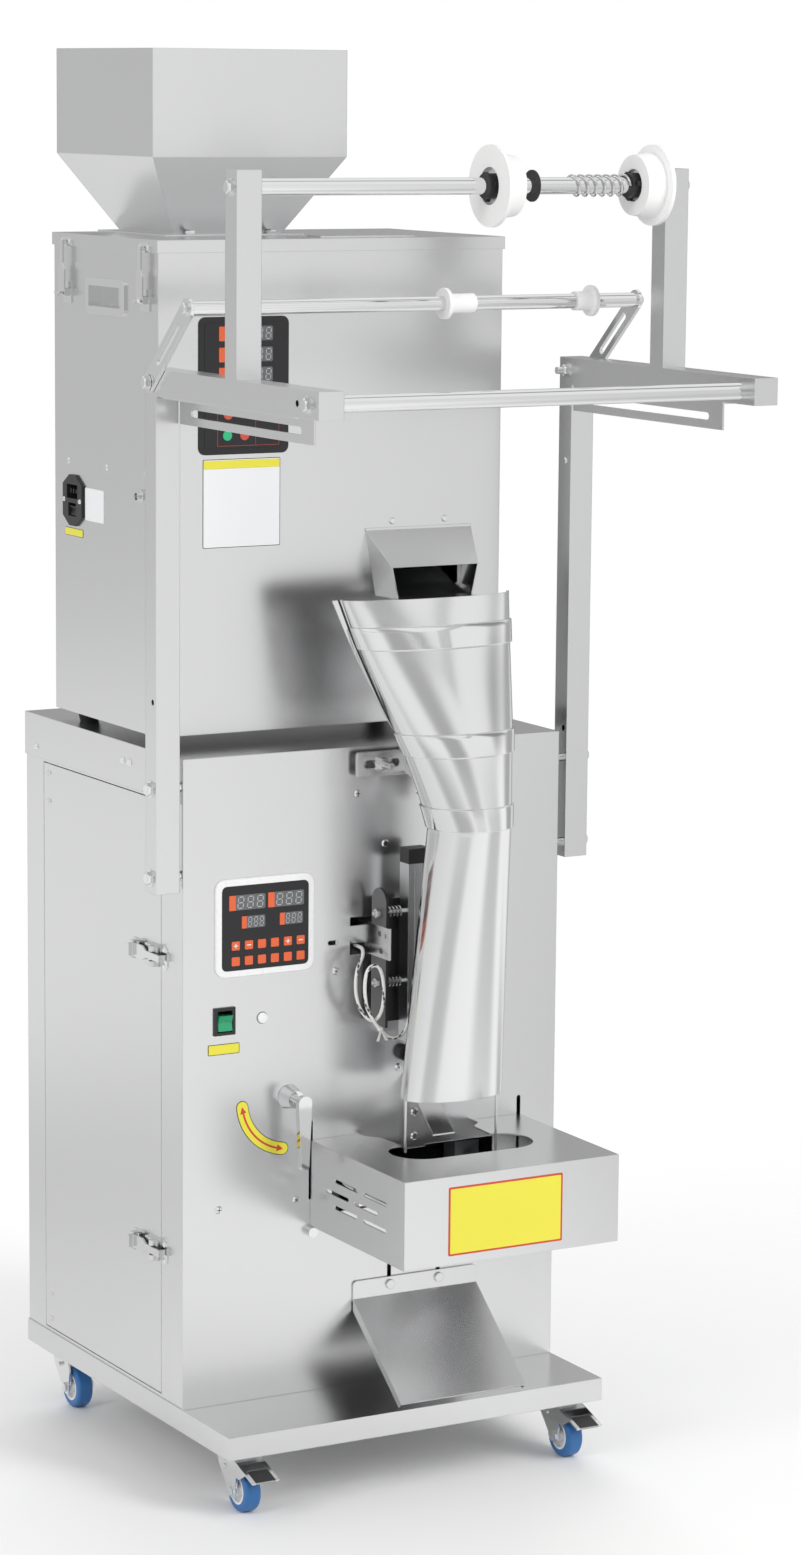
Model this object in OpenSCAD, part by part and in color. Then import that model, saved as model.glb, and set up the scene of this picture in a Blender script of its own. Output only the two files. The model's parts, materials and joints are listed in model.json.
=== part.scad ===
// Weighing filling machine: a weigher cabinet on a packing cabinet, with film path, sealers and casters.
// Millimetres. Sub-parts are drawn from the cabinet's front face (y = 0) and the base's top (z = 0).

/* [Casters] */
// Height of a caster, floor to base
caster_h = 68; // [60:1:80]
// Wheel diameter
wheel_d = 50; // [44:1:54]
// Wheel width
wheel_w = 19; // [16:1:22]
// Distance of the axle ahead of the swivel
caster_trail = 22; // [18:1:26]
// Half distance between left and right casters
caster_x = 208; // [190:1:210]
// Swivel behind the base's front edge, and ahead of its back edge
caster_inset = 48; // [44:1:60]
// Thickness of the fork's sheet
fork_t = 2.5; // [2:0.1:3]
// Radius of the caster axle
axle_r = 3; // [2.5:0.5:4]

/* [Base] */
// Height of the base tray
base_h = 26; // [22:1:34]
// Reach of the base in front of the cabinet
base_front = 114; // [90:1:140]
// Thickness of the base sheet
base_t = 2; // [1.5:0.1:3]

/* [Lower cabinet] */
// Width of the lower cabinet
cab_w = 480; // [470:1:500]
// Depth of the lower cabinet
cab_d = 413; // [400:1:450]
// Height of the lower cabinet
cab_h = 735; // [720:1:760]
// Sheet thickness of both cabinets
sheet_t = 1.5; // [1.2:0.1:2]
// Height of the top cover's skirt
cover_skirt = 50; // [40:1:60]
// Front edge of the side door
door_front = 56; // [50:1:64]
// Width of the rear stile behind the side door
door_stile = 48; // [40:1:56]
// Gap round the side door
door_gap = 1; // [0.8:0.1:2]
// Thickness of the side door
door_t = 16; // [12:1:20]
// Height of the lower latch above the base
latch_low = 170; // [150:1:190]
// Height of the upper latch above the base
latch_high = 506; // [480:1:530]

/* [Upper cabinet] */
// Width of the upper cabinet's lid
upper_w = 438; // [430:1:442]
// Depth of the upper cabinet's lid
upper_d = 270; // [260:1:290]
// Height of the upper cabinet, floor to lid top
upper_h = 545; // [530:1:570]
// Sideways place of the upper cabinet
upper_x = -17.5; // [-19:0.5:-16]
// Distance of the upper cabinet behind the lower front
upper_y = 70; // [66:1:80]
// Height of the feet between the cabinets
foot_h = 14; // [12:1:18]
// Height of the lid's skirt
lid_skirt = 14; // [12:1:18]

/* [Hopper] */
// Width of the hopper's rim
hopper_w = 242; // [220:1:250]
// Depth of the hopper's rim
hopper_d = 248; // [230:1:260]
// Height of the hopper's straight part
hopper_rim_h = 120; // [100:1:140]
// Height of the hopper's tapered part
hopper_cone_h = 86; // [70:1:100]
// Width of the hopper's outlet
throat_w = 135; // [120:1:140]
// Depth of the hopper's outlet
throat_d = 133; // [120:1:140]
// Sideways place of the hopper
hopper_x = -90.5; // [-94:0.5:-86]
// Place of the hopper behind the lower front
hopper_y = 256; // [250:1:260]

/* [Roll frame] */
// Width of the square tubes
tube_w = 29; // [26:1:32]
// Depth of the posts and uprights
tube_d = 26; // [24:1:30]
// Wall of the square tubes
tube_wall = 2; // [1.5:0.1:3]
// Gap between post and cabinet
post_gap = 6.5; // [5:0.5:9]
// Lower end of the posts
post_low = 589; // [570:1:610]
// Underside of the arms
arm_z = 1131.5; // [1120:0.5:1140]
// Reach of the arms in front of the cabinet
arm_reach = 372; // [340:1:400]
// Back end of the arms, behind the cabinet's front
arm_back = 20.5; // [20:0.5:24]
// Distance of the uprights in front of the cabinet
upright_y = 180; // [170:1:190]
// Height of the uprights above the arms
upright_h = 215; // [200:1:230]
// Radius of the film shaft and the front bar
bar_r = 9; // [8:0.5:10]
// Distance of the front bar in front of the cabinet
front_bar_y = 350; // [320:1:355]

/* [Dancer] */
// Length of a dancer link between its holes
link_l = 124; // [110:1:132]
// Angle of the links above the horizontal
link_angle = 42; // [38:1:50]
// Thickness of a link
link_t = 4; // [3:0.5:5]
// Width of a link
link_w = 22; // [20:1:26]
// Radius of the dancer bar
dancer_r = 8; // [7:0.5:9]

/* [Film path] */
// Sideways place of the film's centre line
film_x = 53; // [50:0.5:56]
// Distance of the tube's lower end in front of the cabinet
film_y = 85; // [80:1:92]
// Lower end of the tube
tube_low = 348; // [340:1:356]
// Sheet thickness of the former
former_t = 1.2; // [1:0.1:1.6]
// Clearance between former and product tube
film_gap = 4; // [3:0.5:5]

/* [Sealing] */
// Left side of the safety cover
hood_x = -80; // [-86:1:-76]
// Width of the safety cover
hood_w = 273; // [262:1:280]
// Reach of the safety cover
hood_d = 216; // [200:1:230]
// Underside of the safety cover
hood_z = 193; // [185:1:198]
// Height of the safety cover
hood_h = 99; // [94:1:110]
// Opening of the jaws at rest
jaw_gap = 44; // [36:1:50]
// Height of a jaw
jaw_h = 40; // [34:1:44]
// Length of a jaw
jaw_w = 166; // [150:1:172]
// Radius of the jaws' guide rods
guide_r = 6; // [5:0.5:7]
// Height of the jaws' middle above the base
jaw_z = 240; // [236:1:246]
// Underside of the vertical sealer's bar
sealer_z = 402; // [396:1:410]
// Height of the vertical sealer's bar
sealer_h = 203; // [190:1:215]
// Distance of the sealer's bar from the seam at rest
sealer_open = 6; // [4:0.5:8]

/* [Controls] */
// Width of the control panel
control_w = 123; // [110:1:135]
// Height of the control panel
control_h = 110; // [100:1:120]
// Length of the crank's lever
crank_l = 72; // [60:1:84]
// Distance of the crank's lever in front of the cabinet
crank_y = 36; // [30:1:42]

/* [Fits] */
// Radial running clearance
run_c = 0.05; // [0.02:0.01:0.09]
// Gap between pieces that pass each other
pass_c = 0.4; // [0.3:0.1:0.8]

/* [Hidden] */
$fn = 48;

steel = [0.78, 0.79, 0.80];
polished = [0.86, 0.87, 0.88];
dark = [0.10, 0.10, 0.11];
white = [0.95, 0.95, 0.94];

// Places that follow from the driving sizes
front_y = (arm_reach - cab_d) / 2;
base_top = caster_h + base_h;
half_w = cab_w / 2;
wall_x = half_w - sheet_t;
door_back = cab_d - door_stile;
door_low = 4;
door_high = cab_h - cover_skirt - 3;
upper_z = cab_h + foot_h;
lid_top = upper_z + upper_h;
lid_out = 2;
housing_w = upper_w - 2 * lid_out;
housing_y0 = upper_y + lid_out;
housing_y1 = upper_y + upper_d - lid_out;
housing_left = upper_x - housing_w / 2;
housing_right = upper_x + housing_w / 2;
post_in = half_w + post_gap;
post_out = post_in + tube_w;
arm_mid = arm_z + tube_w / 2;
arm_top = arm_z + tube_w;
shaft_z = arm_top + upright_h - 18;
pivot_y = 5;
pivot_z = arm_mid;
link_x = post_out + pass_c;
dancer_y = pivot_y - link_l * cos(link_angle);
dancer_z = pivot_z + link_l * sin(link_angle);
bolt_r = 4;
hood_mid = hood_x + hood_w / 2;
jaw_y = -(film_y + 10);
caster_front_y = -base_front + caster_inset;
caster_rear_y = cab_d - caster_inset;
axle_z = wheel_d / 2 - caster_h;

// Frames
module at_cabinet() {
    translate([0, front_y, base_top]) children();
}

module at_caster(side, y) {
    translate([side * caster_x, front_y + y, caster_h]) children();
}

// Building blocks
module block(low, high) {
    translate(low) cube(high - low);
}

module x_rod(x0, x1, y, z, r) {
    translate([x0, y, z]) rotate([0, 90, 0]) cylinder(h = x1 - x0, r = r);
}

module y_rod(y0, y1, x, z, r) {
    translate([x, y0, z]) rotate([-90, 0, 0]) cylinder(h = y1 - y0, r = r);
}

module z_rod(z0, z1, x, y, r) {
    translate([x, y, z0]) cylinder(h = z1 - z0, r = r);
}

module round_rect(w, h, r) {
    square([w - 2 * r, h], center = true);
    square([w, h - 2 * r], center = true);
    for (sx = [-1, 1], sy = [-1, 1])
        translate([sx * (w / 2 - r), sy * (h / 2 - r)]) circle(r);
}

module slot_2d(length, r) {
    square([length - 2 * r, 2 * r], center = true);
    for (s = [-1, 1])
        translate([s * (length / 2 - r), 0]) circle(r);
}

// A flat outline set upright: drawn in x and z, from y0 back to y1
module upright_plate(y0, y1) {
    translate([0, y1, 0]) rotate([90, 0, 0]) linear_extrude(y1 - y0) children();
}

// A flat outline set sideways: drawn in y and z, from x0 to x1
module side_plate(x0, x1) {
    translate([x0, 0, 0]) rotate([90, 0, 90]) linear_extrude(x1 - x0) children();
}

module hex_head(x, side, y, z, across = 13, h = 5) {
    washer_t = 1.5;
    translate([x, y, z]) rotate([0, side * 90, 0]) {
        cylinder(h = washer_t, r = across * 0.72);
        translate([0, 0, washer_t]) intersection() {
            cylinder(h = h, r = across / 2 / cos(30), $fn = 6);
            cylinder(h = h, r1 = across * 0.8, r2 = across * 0.42);
        }
    }
}

module pan_screw(y, x, z, r = 4.5) {
    translate([x, y, z]) rotate([90, 0, 0]) cylinder(h = 2, r1 = r, r2 = r * 0.7, $fn = 24);
}

module side_screw(x, side, y, z, r = 4) {
    translate([x, y, z]) rotate([0, side * 90, 0]) cylinder(h = 1.8, r1 = r, r2 = r * 0.7, $fn = 24);
}

// Base and casters
channel_w = 66;
plate_w = 58;
plate_t = 2.5;
race_r = 20;
race_h = 6;
king_r = 5;
king_head = 2;
pedal_pin_r = 2.5;
seam = 0.05;
fork_top = -(plate_t + race_h) - pass_c;
cheek_in = wheel_w / 2 + 3;
cheek_out = cheek_in + fork_t;

module base_tray() {
    color(steel) {
        difference() {
            block([-half_w, -base_front, -base_h], [half_w, cab_d, 0]);
            block([-half_w + base_t, -base_front + base_t, -base_h - 1],
                  [half_w - base_t, cab_d - base_t, -base_t]);
        }
        for (y = [caster_front_y, caster_rear_y])
            difference() {
                block([-half_w + base_t, y - channel_w / 2, -base_h],
                      [half_w - base_t, y + channel_w / 2, -base_t]);
                block([-half_w + 2 * base_t, y - channel_w / 2 + base_t, -base_h + base_t],
                      [half_w - 2 * base_t, y + channel_w / 2 - base_t, -base_t]);
            }
        for (side = [-1, 1], y = [caster_front_y, caster_rear_y])
            translate([side * caster_x, y, -base_h]) {
                translate([0, 0, -plate_t]) linear_extrude(plate_t - seam) round_rect(plate_w, plate_w, 5);
                translate([0, 0, -plate_t - race_h]) cylinder(h = race_h - seam, r1 = race_r - 3, r2 = race_r);
                translate([0, 0, fork_top - fork_t - pass_c - king_head]) {
                    cylinder(h = fork_t + 2 * pass_c + king_head, r = king_r);
                    cylinder(h = king_head, r = king_r + 4);
                }
            }
    }
}

module fork() {
    foot_r = 8.5;
    top_half = 19;
    color(polished) {
        difference() {
            union() {
                translate([0, 0, fork_top - fork_t]) cylinder(h = fork_t, r = race_r - 3);
                block([-cheek_out, -top_half, fork_top - fork_t], [cheek_out, top_half - 6, fork_top]);
            }
            translate([0, 0, fork_top - fork_t - 1]) cylinder(h = fork_t + 2, r = king_r + run_c);
        }
        for (side = [-1, 1])
            x_rod(side < 0 ? -cheek_out - 3.5 : cheek_out, side < 0 ? -cheek_out : cheek_out + 3.5,
                  pedal_pivot[0], pedal_pivot[1], pedal_pin_r);
        for (x = [-cheek_out, cheek_in])
            side_plate(x, x + fork_t) {
                polygon([
                    [-top_half - 8, fork_top], [top_half - 6, fork_top], [top_half - 8, fork_top - 10],
                    [-caster_trail + foot_r * 0.8, axle_z - foot_r * 0.6],
                    [-caster_trail - foot_r * 0.8, axle_z - foot_r * 0.6], [-top_half - 12, fork_top - 14]
                ]);
                translate([-caster_trail, axle_z]) circle(foot_r);
            }
        x_rod(-cheek_out - 1, cheek_out + 1, -caster_trail, axle_z, axle_r);
        for (side = [-1, 1])
            translate([side * cheek_out, -caster_trail, axle_z]) rotate([0, side * 90, 0])
                cylinder(h = 3.5, r = 6, $fn = 6);
    }
}

module caster_wheel() {
    r = wheel_d / 2;
    w = wheel_w / 2;
    hub_r = r * 0.68;
    boss = cheek_in - pass_c;
    color([0.10, 0.28, 0.60])
        translate([0, -caster_trail, axle_z]) rotate([0, 90, 0]) rotate_extrude($fn = 64)
            difference() {
                union() {
                    translate([0, -boss]) square([axle_r + 4, 2 * boss]);
                    translate([0, -w + 4]) square([hub_r, 2 * w - 8]);
                    translate([hub_r - 3, -w]) square([r - hub_r - 1, 2 * w]);
                    translate([r - 4, -w + 4]) square([4, 2 * w - 8]);
                    for (s = [-1, 1])
                        translate([r - 4, s * (w - 4)]) circle(4);
                }
                translate([-1, -boss - 1]) square([axle_r + run_c + 1, 2 * boss + 2]);
                translate([-r, -w - 1]) square([r, 2 * w + 2]);
            }
}

pedal_pivot = [-8, fork_top - 9];
block_front = caster_trail + 27;
module brake_pedal() {
    inner = cheek_out + pass_c;
    outer = inner + 1.5;
    color(polished) {
        side_plate(-outer, outer)
            polygon([[-30, fork_top + 3], [-31, fork_top + 1], [-74, fork_top - 13], [-74, fork_top - 11]]);
        for (x = [-outer, inner])
            side_plate(x, x + 1.5)
                difference() {
                    polygon([[-4, fork_top - 14], [-2, fork_top - 4], [-31, fork_top + 2],
                             [-58, fork_top - 7], [-42, fork_top - 16]]);
                    translate(pedal_pivot) circle(pedal_pin_r + run_c);
                }
    }
    color(dark)
        side_plate(-cheek_in, cheek_in)
            polygon([[-block_front, fork_top - 11], [-block_front, fork_top - 5], [-block_front + 10, fork_top - 2],
                     [-block_front + 10, fork_top - 11]]);
}

// Lower cabinet
rail = 12;
hinge_pin_r = 2;
hinge_in = 4;
hinge_y = door_back - 10;
module cabinet_shell() {
    color(steel)
        difference() {
            block([-wall_x, sheet_t, 0], [wall_x, cab_d - sheet_t, cab_h - sheet_t]);
            block([-wall_x + sheet_t, -1, sheet_t], [wall_x - sheet_t, cab_d - 2 * sheet_t, cab_h]);
            block([-wall_x - 1, door_front, door_low], [-wall_x + door_t, door_back, door_high]);
        }
    // Folded returns behind the stiles carry the door
    color(steel)
        for (y = [door_front - rail, door_back])
            block([-wall_x + sheet_t, y, sheet_t], [-wall_x + sheet_t + rail, y + rail, door_high + rail]);
    // Hinge pins: one on the floor, one under a lug over the door
    color(steel) {
        z_rod(sheet_t / 2, door_low + door_gap + sheet_t + 2, -wall_x + hinge_in, hinge_y, hinge_pin_r);
        z_rod(door_high - door_gap - sheet_t - 2, door_high + 2, -wall_x + hinge_in, hinge_y, hinge_pin_r);
        block([-wall_x + sheet_t / 2, hinge_y - 8, door_high + 1], [-wall_x + 2 * hinge_in + 2, hinge_y + 8, door_high + 3]);
    }
}

win_low = hood_z + 12;
win_high = hood_z + hood_h - 22;
hole_x = -31;
hole_z = 499;
hole_w = 39;
hole_h = 43;
chute_x = 56;
chute_slots = [23, 87];
chute_slot_low = 108;
chute_slot_high = 137;
switch_x = -189;
switch_z = 439;
switch_w = 22;
switch_h = 28;
crank_x = -107.5;
crank_z = 345;
crank_shaft_r = 5;
side_slot_w = 5;
side_slot_high = hood_z + hood_h + 22;

module front_panel() {
    color(steel)
        difference() {
            block([-half_w, 0, 0], [half_w, sheet_t, cab_h]);
            block([film_x - 105, -1, win_low], [film_x + 105, 2, win_high]);
            block([hole_x, -1, hole_z], [hole_x + hole_w, 2, hole_z + hole_h]);
            for (x = chute_slots)
                translate([x, 0, (chute_slot_low + chute_slot_high) / 2]) upright_plate(-1, 2)
                    rotate(90) slot_2d(chute_slot_high - chute_slot_low, 2.5);
            for (x = [hood_x + sheet_t / 2, hood_x + hood_w - sheet_t / 2])
                translate([x, 0, (hood_z + 30 + side_slot_high) / 2]) upright_plate(-1, 2)
                    rotate(90) slot_2d(side_slot_high - hood_z - 30, side_slot_w / 2);
            block([switch_x - switch_w / 2, -1, switch_z - switch_h / 2],
                  [switch_x + switch_w / 2, 2, switch_z + switch_h / 2]);
            y_rod(-1, 3, crank_x, crank_z, crank_shaft_r + run_c);
            translate([hole_x - 21, 0, hole_z + 16]) upright_plate(-1, 2) slot_2d(14, 2.5);
        }
}

module cabinet_cover() {
    color(steel)
        difference() {
            block([-half_w, sheet_t, cab_h - cover_skirt], [half_w, cab_d, cab_h]);
            block([-wall_x, -1, cab_h - cover_skirt - 1], [wall_x, cab_d - sheet_t, cab_h - sheet_t]);
        }
}

foot_r = 14;
feet = [for (x = [-1, 1], y = [-1, 1])
    [upper_x + x * (housing_w / 2 - 28), (housing_y0 + housing_y1) / 2 + y * (upper_d / 2 - 32)]];
module stacking_feet() {
    color(dark)
        for (p = feet)
            translate([p[0], p[1], cab_h]) cylinder(h = foot_h, r1 = foot_r * 0.75, r2 = foot_r);
}

module side_door() {
    y0 = door_front + door_gap;
    y1 = door_back - door_gap;
    z0 = door_low + door_gap;
    z1 = door_high - door_gap;
    color(steel)
        difference() {
            block([-wall_x, y0, z0], [-wall_x + door_t - 1, y1, z1]);
            block([-wall_x + sheet_t, y0 + sheet_t, z0 + sheet_t],
                  [-wall_x + door_t + 1, y1 - sheet_t, z1 - sheet_t]);
            z_rod(z0 - 1, z1 + 1, -wall_x + hinge_in, hinge_y, hinge_pin_r + run_c);
        }
    color(polished) {
        for (z = latch_z)
            translate([-wall_x, latch_pivot_y, z]) rotate([90, 0, 0]) {
                latch_base();
                latch_block();
            }
        for (z = [16, 45, z1 - 44, z1 - 11])
            side_screw(-wall_x, -1, y1 - 14, z, 3.5);
    }
}

// Latches: drawn with u outwards along -x, and the claw towards +z, the pivot at z = 0
latch_w = 16;
latch_u = 7;
latch_t = 2;
lip_gap = 0.6;
claw_w = 8;
thumb_l = 26;
keeper_w = 27;
pin_r = 1.6;
latch_z = [latch_low, latch_high];
latch_pivot_y = 112;
door_latch_l = 66;
lid_latch_l = 58;
lid_latch_z = lid_top - 66;
lid_latch_y = [upper_y + 32, upper_y + upper_d - 38];

module latch_base() {
    block([-1.5, -latch_w / 2 - 3, -12], [0, latch_w / 2 + 3, 12]);
    for (y = [-latch_w / 2 - 2, latch_w / 2 + 0.5])
        block([-latch_u - latch_t, y, -4], [-1.5, y + 1.5, 4]);
    translate([-latch_u + 1, -latch_w / 2 - 1, 0]) rotate([-90, 0, 0]) cylinder(h = latch_w + 2, r = pin_r);
}

// Block ahead of the thumb plate: the claw lies between its two knuckles
module latch_block() {
    z0 = thumb_l - 2;
    z1 = door_latch_l - 12;
    block([-latch_u + 2, -keeper_w / 2 + 2, z0], [0, keeper_w / 2 - 2, z1]);
    for (side = [-1, 1])
        translate([-latch_u + 1, side > 0 ? claw_w / 2 + 1.5 : -keeper_w / 2 + 2, z1 - 8]) rotate([-90, 0, 0])
            cylinder(h = keeper_w / 2 - claw_w / 2 - 3.5, r = 4.5);
}

// Outline in the keeper's own plane, as long as it is broad across the claw
module latch_keeper(length, out, plate_l) {
    translate([-out, 0, length - 1]) rotate([0, -90, 0]) linear_extrude(1.2)
        rotate(90) slot_2d(keeper_w, plate_l / 2);
    for (side = [-1, 1])
        translate([-out - 1.2, side * (keeper_w / 2 - 4.5), length - 1]) rotate([0, -90, 0])
            cylinder(h = 1.2, r1 = 3, r2 = 2, $fn = 24);
    block([-latch_u + 1, -claw_w / 2 + 1, length - 4], [-out - 1.2, claw_w / 2 - 1, length - 2]);
}

module latch_lever(length) {
    color(polished)
        difference() {
            union() {
                translate([-latch_u, 0, 0]) rotate([0, -90, 0]) linear_extrude(latch_t)
                    polygon([[0, -latch_w / 2], [thumb_l, -latch_w / 2], [thumb_l + 7, -claw_w / 2], [length, -claw_w / 2],
                             [length, claw_w / 2], [thumb_l + 7, claw_w / 2], [thumb_l, latch_w / 2], [0, latch_w / 2]]);
                block([-latch_u - latch_t, -claw_w / 2, length - 2 + lip_gap],
                      [-latch_u + 3, claw_w / 2, length + lip_gap]);
                translate([-latch_u + 1, -latch_w / 2 + 1, 0]) rotate([-90, 0, 0])
                    cylinder(h = latch_w - 2, r = 3.6);
                block([-latch_u - latch_t - 5, -latch_w / 2 + 1, -2], [-latch_u, latch_w / 2 - 1, 1.5]);
            }
            translate([-latch_u + 1, -latch_w, 0]) rotate([-90, 0, 0])
                cylinder(h = 2 * latch_w, r = pin_r + run_c);
        }
}

module at_lid_latch(i) {
    left = i < 2;
    y = lid_latch_y[i % 2];
    x = left ? housing_left : housing_right;
    translate([x, y, lid_latch_z]) rotate([0, 0, left ? 0 : 180]) children();
}

// Upper cabinet
spout_x = 93;
spout_low = upper_z + 144;
spout_high = spout_low + 75;
spout_back = [110, 137];
spout_mouth = [97, 112];
spout_mouth_h = 36;
spout_front = 32;
slide_back = upper_y + 200;
slide_top = spout_low + 97;
handle_y = upper_y + 132;
handle_z = lid_top - 67;
handle_w = 100;
handle_h = 40;
cup_d = 18;

module upper_housing() {
    color(steel)
        difference() {
            block([housing_left, housing_y0, upper_z], [housing_right, housing_y1, lid_top - sheet_t]);
            block([housing_left + sheet_t, housing_y0 + sheet_t, upper_z + sheet_t],
                  [housing_right - sheet_t, housing_y1 - sheet_t, lid_top]);
            block([spout_x - spout_back[0] / 2 + 3, housing_y0 - 1, spout_low + 10],
                  [spout_x + spout_back[0] / 2 - 3, housing_y0 + 3, spout_high - 10]);
            for (x = [housing_left - 1, housing_right - 3])
                block([x, handle_y - handle_w / 2 + 6, handle_z - handle_h / 2 + 6],
                      [x + 4, handle_y + handle_w / 2 - 6, handle_z + handle_h / 2 - 6]);
            block([housing_left - 1, inlet_y - inlet_w / 2 + 3, inlet_z - inlet_h / 2 + 8],
                  [housing_left + 4, inlet_y + inlet_w / 2 - 3, inlet_z + inlet_h / 2 - 8]);
        }
}

module upper_lid() {
    color(steel)
        difference() {
            union() {
                block([upper_x - upper_w / 2, upper_y, lid_top - lid_skirt],
                      [upper_x + upper_w / 2, upper_y + upper_d, lid_top]);
                block([film_x - 78, upper_y + 20, lid_top], [film_x + 42, upper_y + 52, lid_top + 2]);
            }
            block([upper_x - upper_w / 2 + sheet_t, upper_y + sheet_t, lid_top - lid_skirt - 1],
                  [upper_x + upper_w / 2 - sheet_t, upper_y + upper_d - sheet_t, lid_top - sheet_t]);
            block([hopper_x - throat_w / 2 + 4, hopper_y - throat_d / 2 + 4, lid_top - 5],
                  [hopper_x + throat_w / 2 - 4, hopper_y + throat_d / 2 - 4, lid_top + 5]);
        }
}

hopper_t = 1.5;
flange_w = 20;
flange_t = 2;
module hopper_form(grow, low, high) {
    rim_z = flange_t + hopper_cone_h;
    hull() {
        translate([0, 0, low]) linear_extrude(0.01)
            square([throat_w + 2 * grow, throat_d + 2 * grow], center = true);
        translate([0, 0, rim_z]) linear_extrude(0.01)
            square([hopper_w + 2 * grow, hopper_d + 2 * grow], center = true);
    }
    translate([0, 0, rim_z]) linear_extrude(high - rim_z)
        square([hopper_w + 2 * grow, hopper_d + 2 * grow], center = true);
}

module hopper() {
    top = hopper_cone_h + hopper_rim_h;
    color(steel)
        translate([hopper_x, hopper_y, lid_top])
            difference() {
                union() {
                    hopper_form(0, 0, top);
                    linear_extrude(flange_t)
                        square([throat_w + 2 * flange_w, throat_d + 2 * flange_w], center = true);
                }
                hopper_form(-hopper_t, 0, top + 1);
                translate([0, 0, -1]) linear_extrude(flange_t)
                    square([throat_w - 2 * hopper_t, throat_d - 2 * hopper_t], center = true);
            }
}

// Spout: a tapered chute whose floor reaches over the product tube
module spout_end(y, w, h, grow) {
    translate([spout_x, 0, spout_low]) upright_plate(y, y + 0.01)
        polygon([[-w[0] / 2 - grow, -grow], [w[0] / 2 + grow, -grow],
                 [w[1] / 2 + grow, h + grow], [-w[1] / 2 - grow, h + grow]]);
}

module spout_form(grow, back, front) {
    hull() {
        spout_end(back - 0.01, spout_back, spout_high - spout_low, grow);
        spout_end(front, spout_mouth, spout_mouth_h, grow);
    }
}

module outlet_spout() {
    color(steel)
        difference() {
            union() {
                spout_form(0, housing_y0, spout_front);
                block([film_x - 20, 4, spout_low], [spout_x + spout_mouth[0] / 2, spout_front, spout_low + sheet_t]);
                block([spout_x - spout_back[1] / 2, housing_y0 - sheet_t, spout_high - 1],
                      [spout_x + spout_back[1] / 2, housing_y0, spout_high + 2]);
            }
            spout_form(-sheet_t, housing_y0 + 2, spout_front - 1);
        }
    // The slide under the weigh bucket comes through the housing's opening
    slide_z = spout_low + 10;
    color(steel)
        side_plate(spout_x - spout_mouth[0] / 2 + 2.5, spout_x + spout_mouth[0] / 2 - 2.5)
            polygon([[spout_front + 8, spout_low + sheet_t], [housing_y0, slide_z + 2], [slide_back, slide_top],
                     [slide_back, slide_top - 2], [housing_y0 + 3, slide_z + 0.4], [housing_y0 - 1, slide_z + 0.4],
                     [spout_front + 9, spout_low]]);
}

inlet_y = upper_y + 217;
inlet_z = upper_z + 244;
inlet_w = 50;
inlet_h = 58;
module power_inlet() {
    color(dark)
        difference() {
            union() {
                translate([0, inlet_y, inlet_z]) side_plate(housing_left - 3, housing_left)
                    polygon([[-inlet_w / 2, -18], [-8, -inlet_h / 2], [8, -inlet_h / 2], [inlet_w / 2, -18],
                             [inlet_w / 2, 18], [8, inlet_h / 2], [-8, inlet_h / 2], [-inlet_w / 2, 18]]);
                block([housing_left, inlet_y - inlet_w / 2 + 4, inlet_z - inlet_h / 2 + 9],
                      [housing_left + 24, inlet_y + inlet_w / 2 - 4, inlet_z + inlet_h / 2 - 9]);
            }
            block([housing_left - 4, inlet_y - 14, inlet_z + 2], [housing_left + 18, inlet_y + 14, inlet_z + 18]);
            block([housing_left - 4, inlet_y - 10, inlet_z - 18], [housing_left + 14, inlet_y + 10, inlet_z - 3]);
            y_rod(inlet_y - 12, inlet_y + 12, housing_left + 8, inlet_z - 10.5, trunnion_r + run_c);
        }
    color(polished)
        for (y = [-7, 0, 7])
            block([housing_left - 1, inlet_y + y - 1, inlet_z + 8], [housing_left + 18, inlet_y + y + 1, inlet_z + 13]);
}

// Rockers tip on two trunnions, and rest with the upper half pressed
rocker_tilt = 8;
trunnion_r = 1.5;
module rocker(w, h, depth) {
    rotate([rocker_tilt, 0, 0]) {
        side_plate(-w / 2, w / 2)
            polygon([[-depth, h / 2], [-depth + 3, 0], [-depth, -h / 2], [2.5, -h / 3], [2.5, h / 3]]);
        x_rod(-w / 2 - 1.4, w / 2 + 1.4, 0, 0, trunnion_r);
    }
}

module inlet_rocker() {
    color(dark)
        translate([housing_left + 8, inlet_y, inlet_z - 10.5]) rotate([0, 0, -90]) rocker(19, 11, 10);
}

module switch_bezel() {
    color(dark)
        difference() {
            union() {
                block([switch_x - 13, -2.5, switch_z - 15.5], [switch_x + 13, 0, switch_z + 15.5]);
                block([switch_x - switch_w / 2, 0, switch_z - switch_h / 2],
                      [switch_x + switch_w / 2, 20, switch_z + switch_h / 2]);
            }
            block([switch_x - 9, -3, switch_z - 12], [switch_x + 9, 17, switch_z + 12]);
            x_rod(switch_x - 12, switch_x + 12, 7, switch_z, trunnion_r + run_c);
        }
}

module power_rocker() {
    color([0.05, 0.55, 0.25])
        translate([switch_x, 7, switch_z]) rocker(17, 18, 12);
}

// Panels of the controls
control_x = -139.5;
control_z = 543;
control_t = 3;
module control_panel() {
    translate([control_x, 0, control_z]) {
        color(white) upright_plate(-control_t, 0)
            difference() {
                round_rect(control_w, control_h, 12);
                round_rect(control_w - 12, control_h - 14, 6);
            }
        color(dark) upright_plate(-control_t + 1, 0) round_rect(control_w - 12, control_h - 14, 6);
    }
    color(white) y_rod(-3, 0, control_x - 2, switch_z, 6);
}

weigh_w = 111;
weigh_h = 151;
weigh_x = housing_left + 104.5;
weigh_z = lid_top - 159.5;
module weighing_panel() {
    color(dark)
        translate([weigh_x, housing_y0, weigh_z]) upright_plate(-2, 0) round_rect(weigh_w, weigh_h, 8);
}

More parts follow.
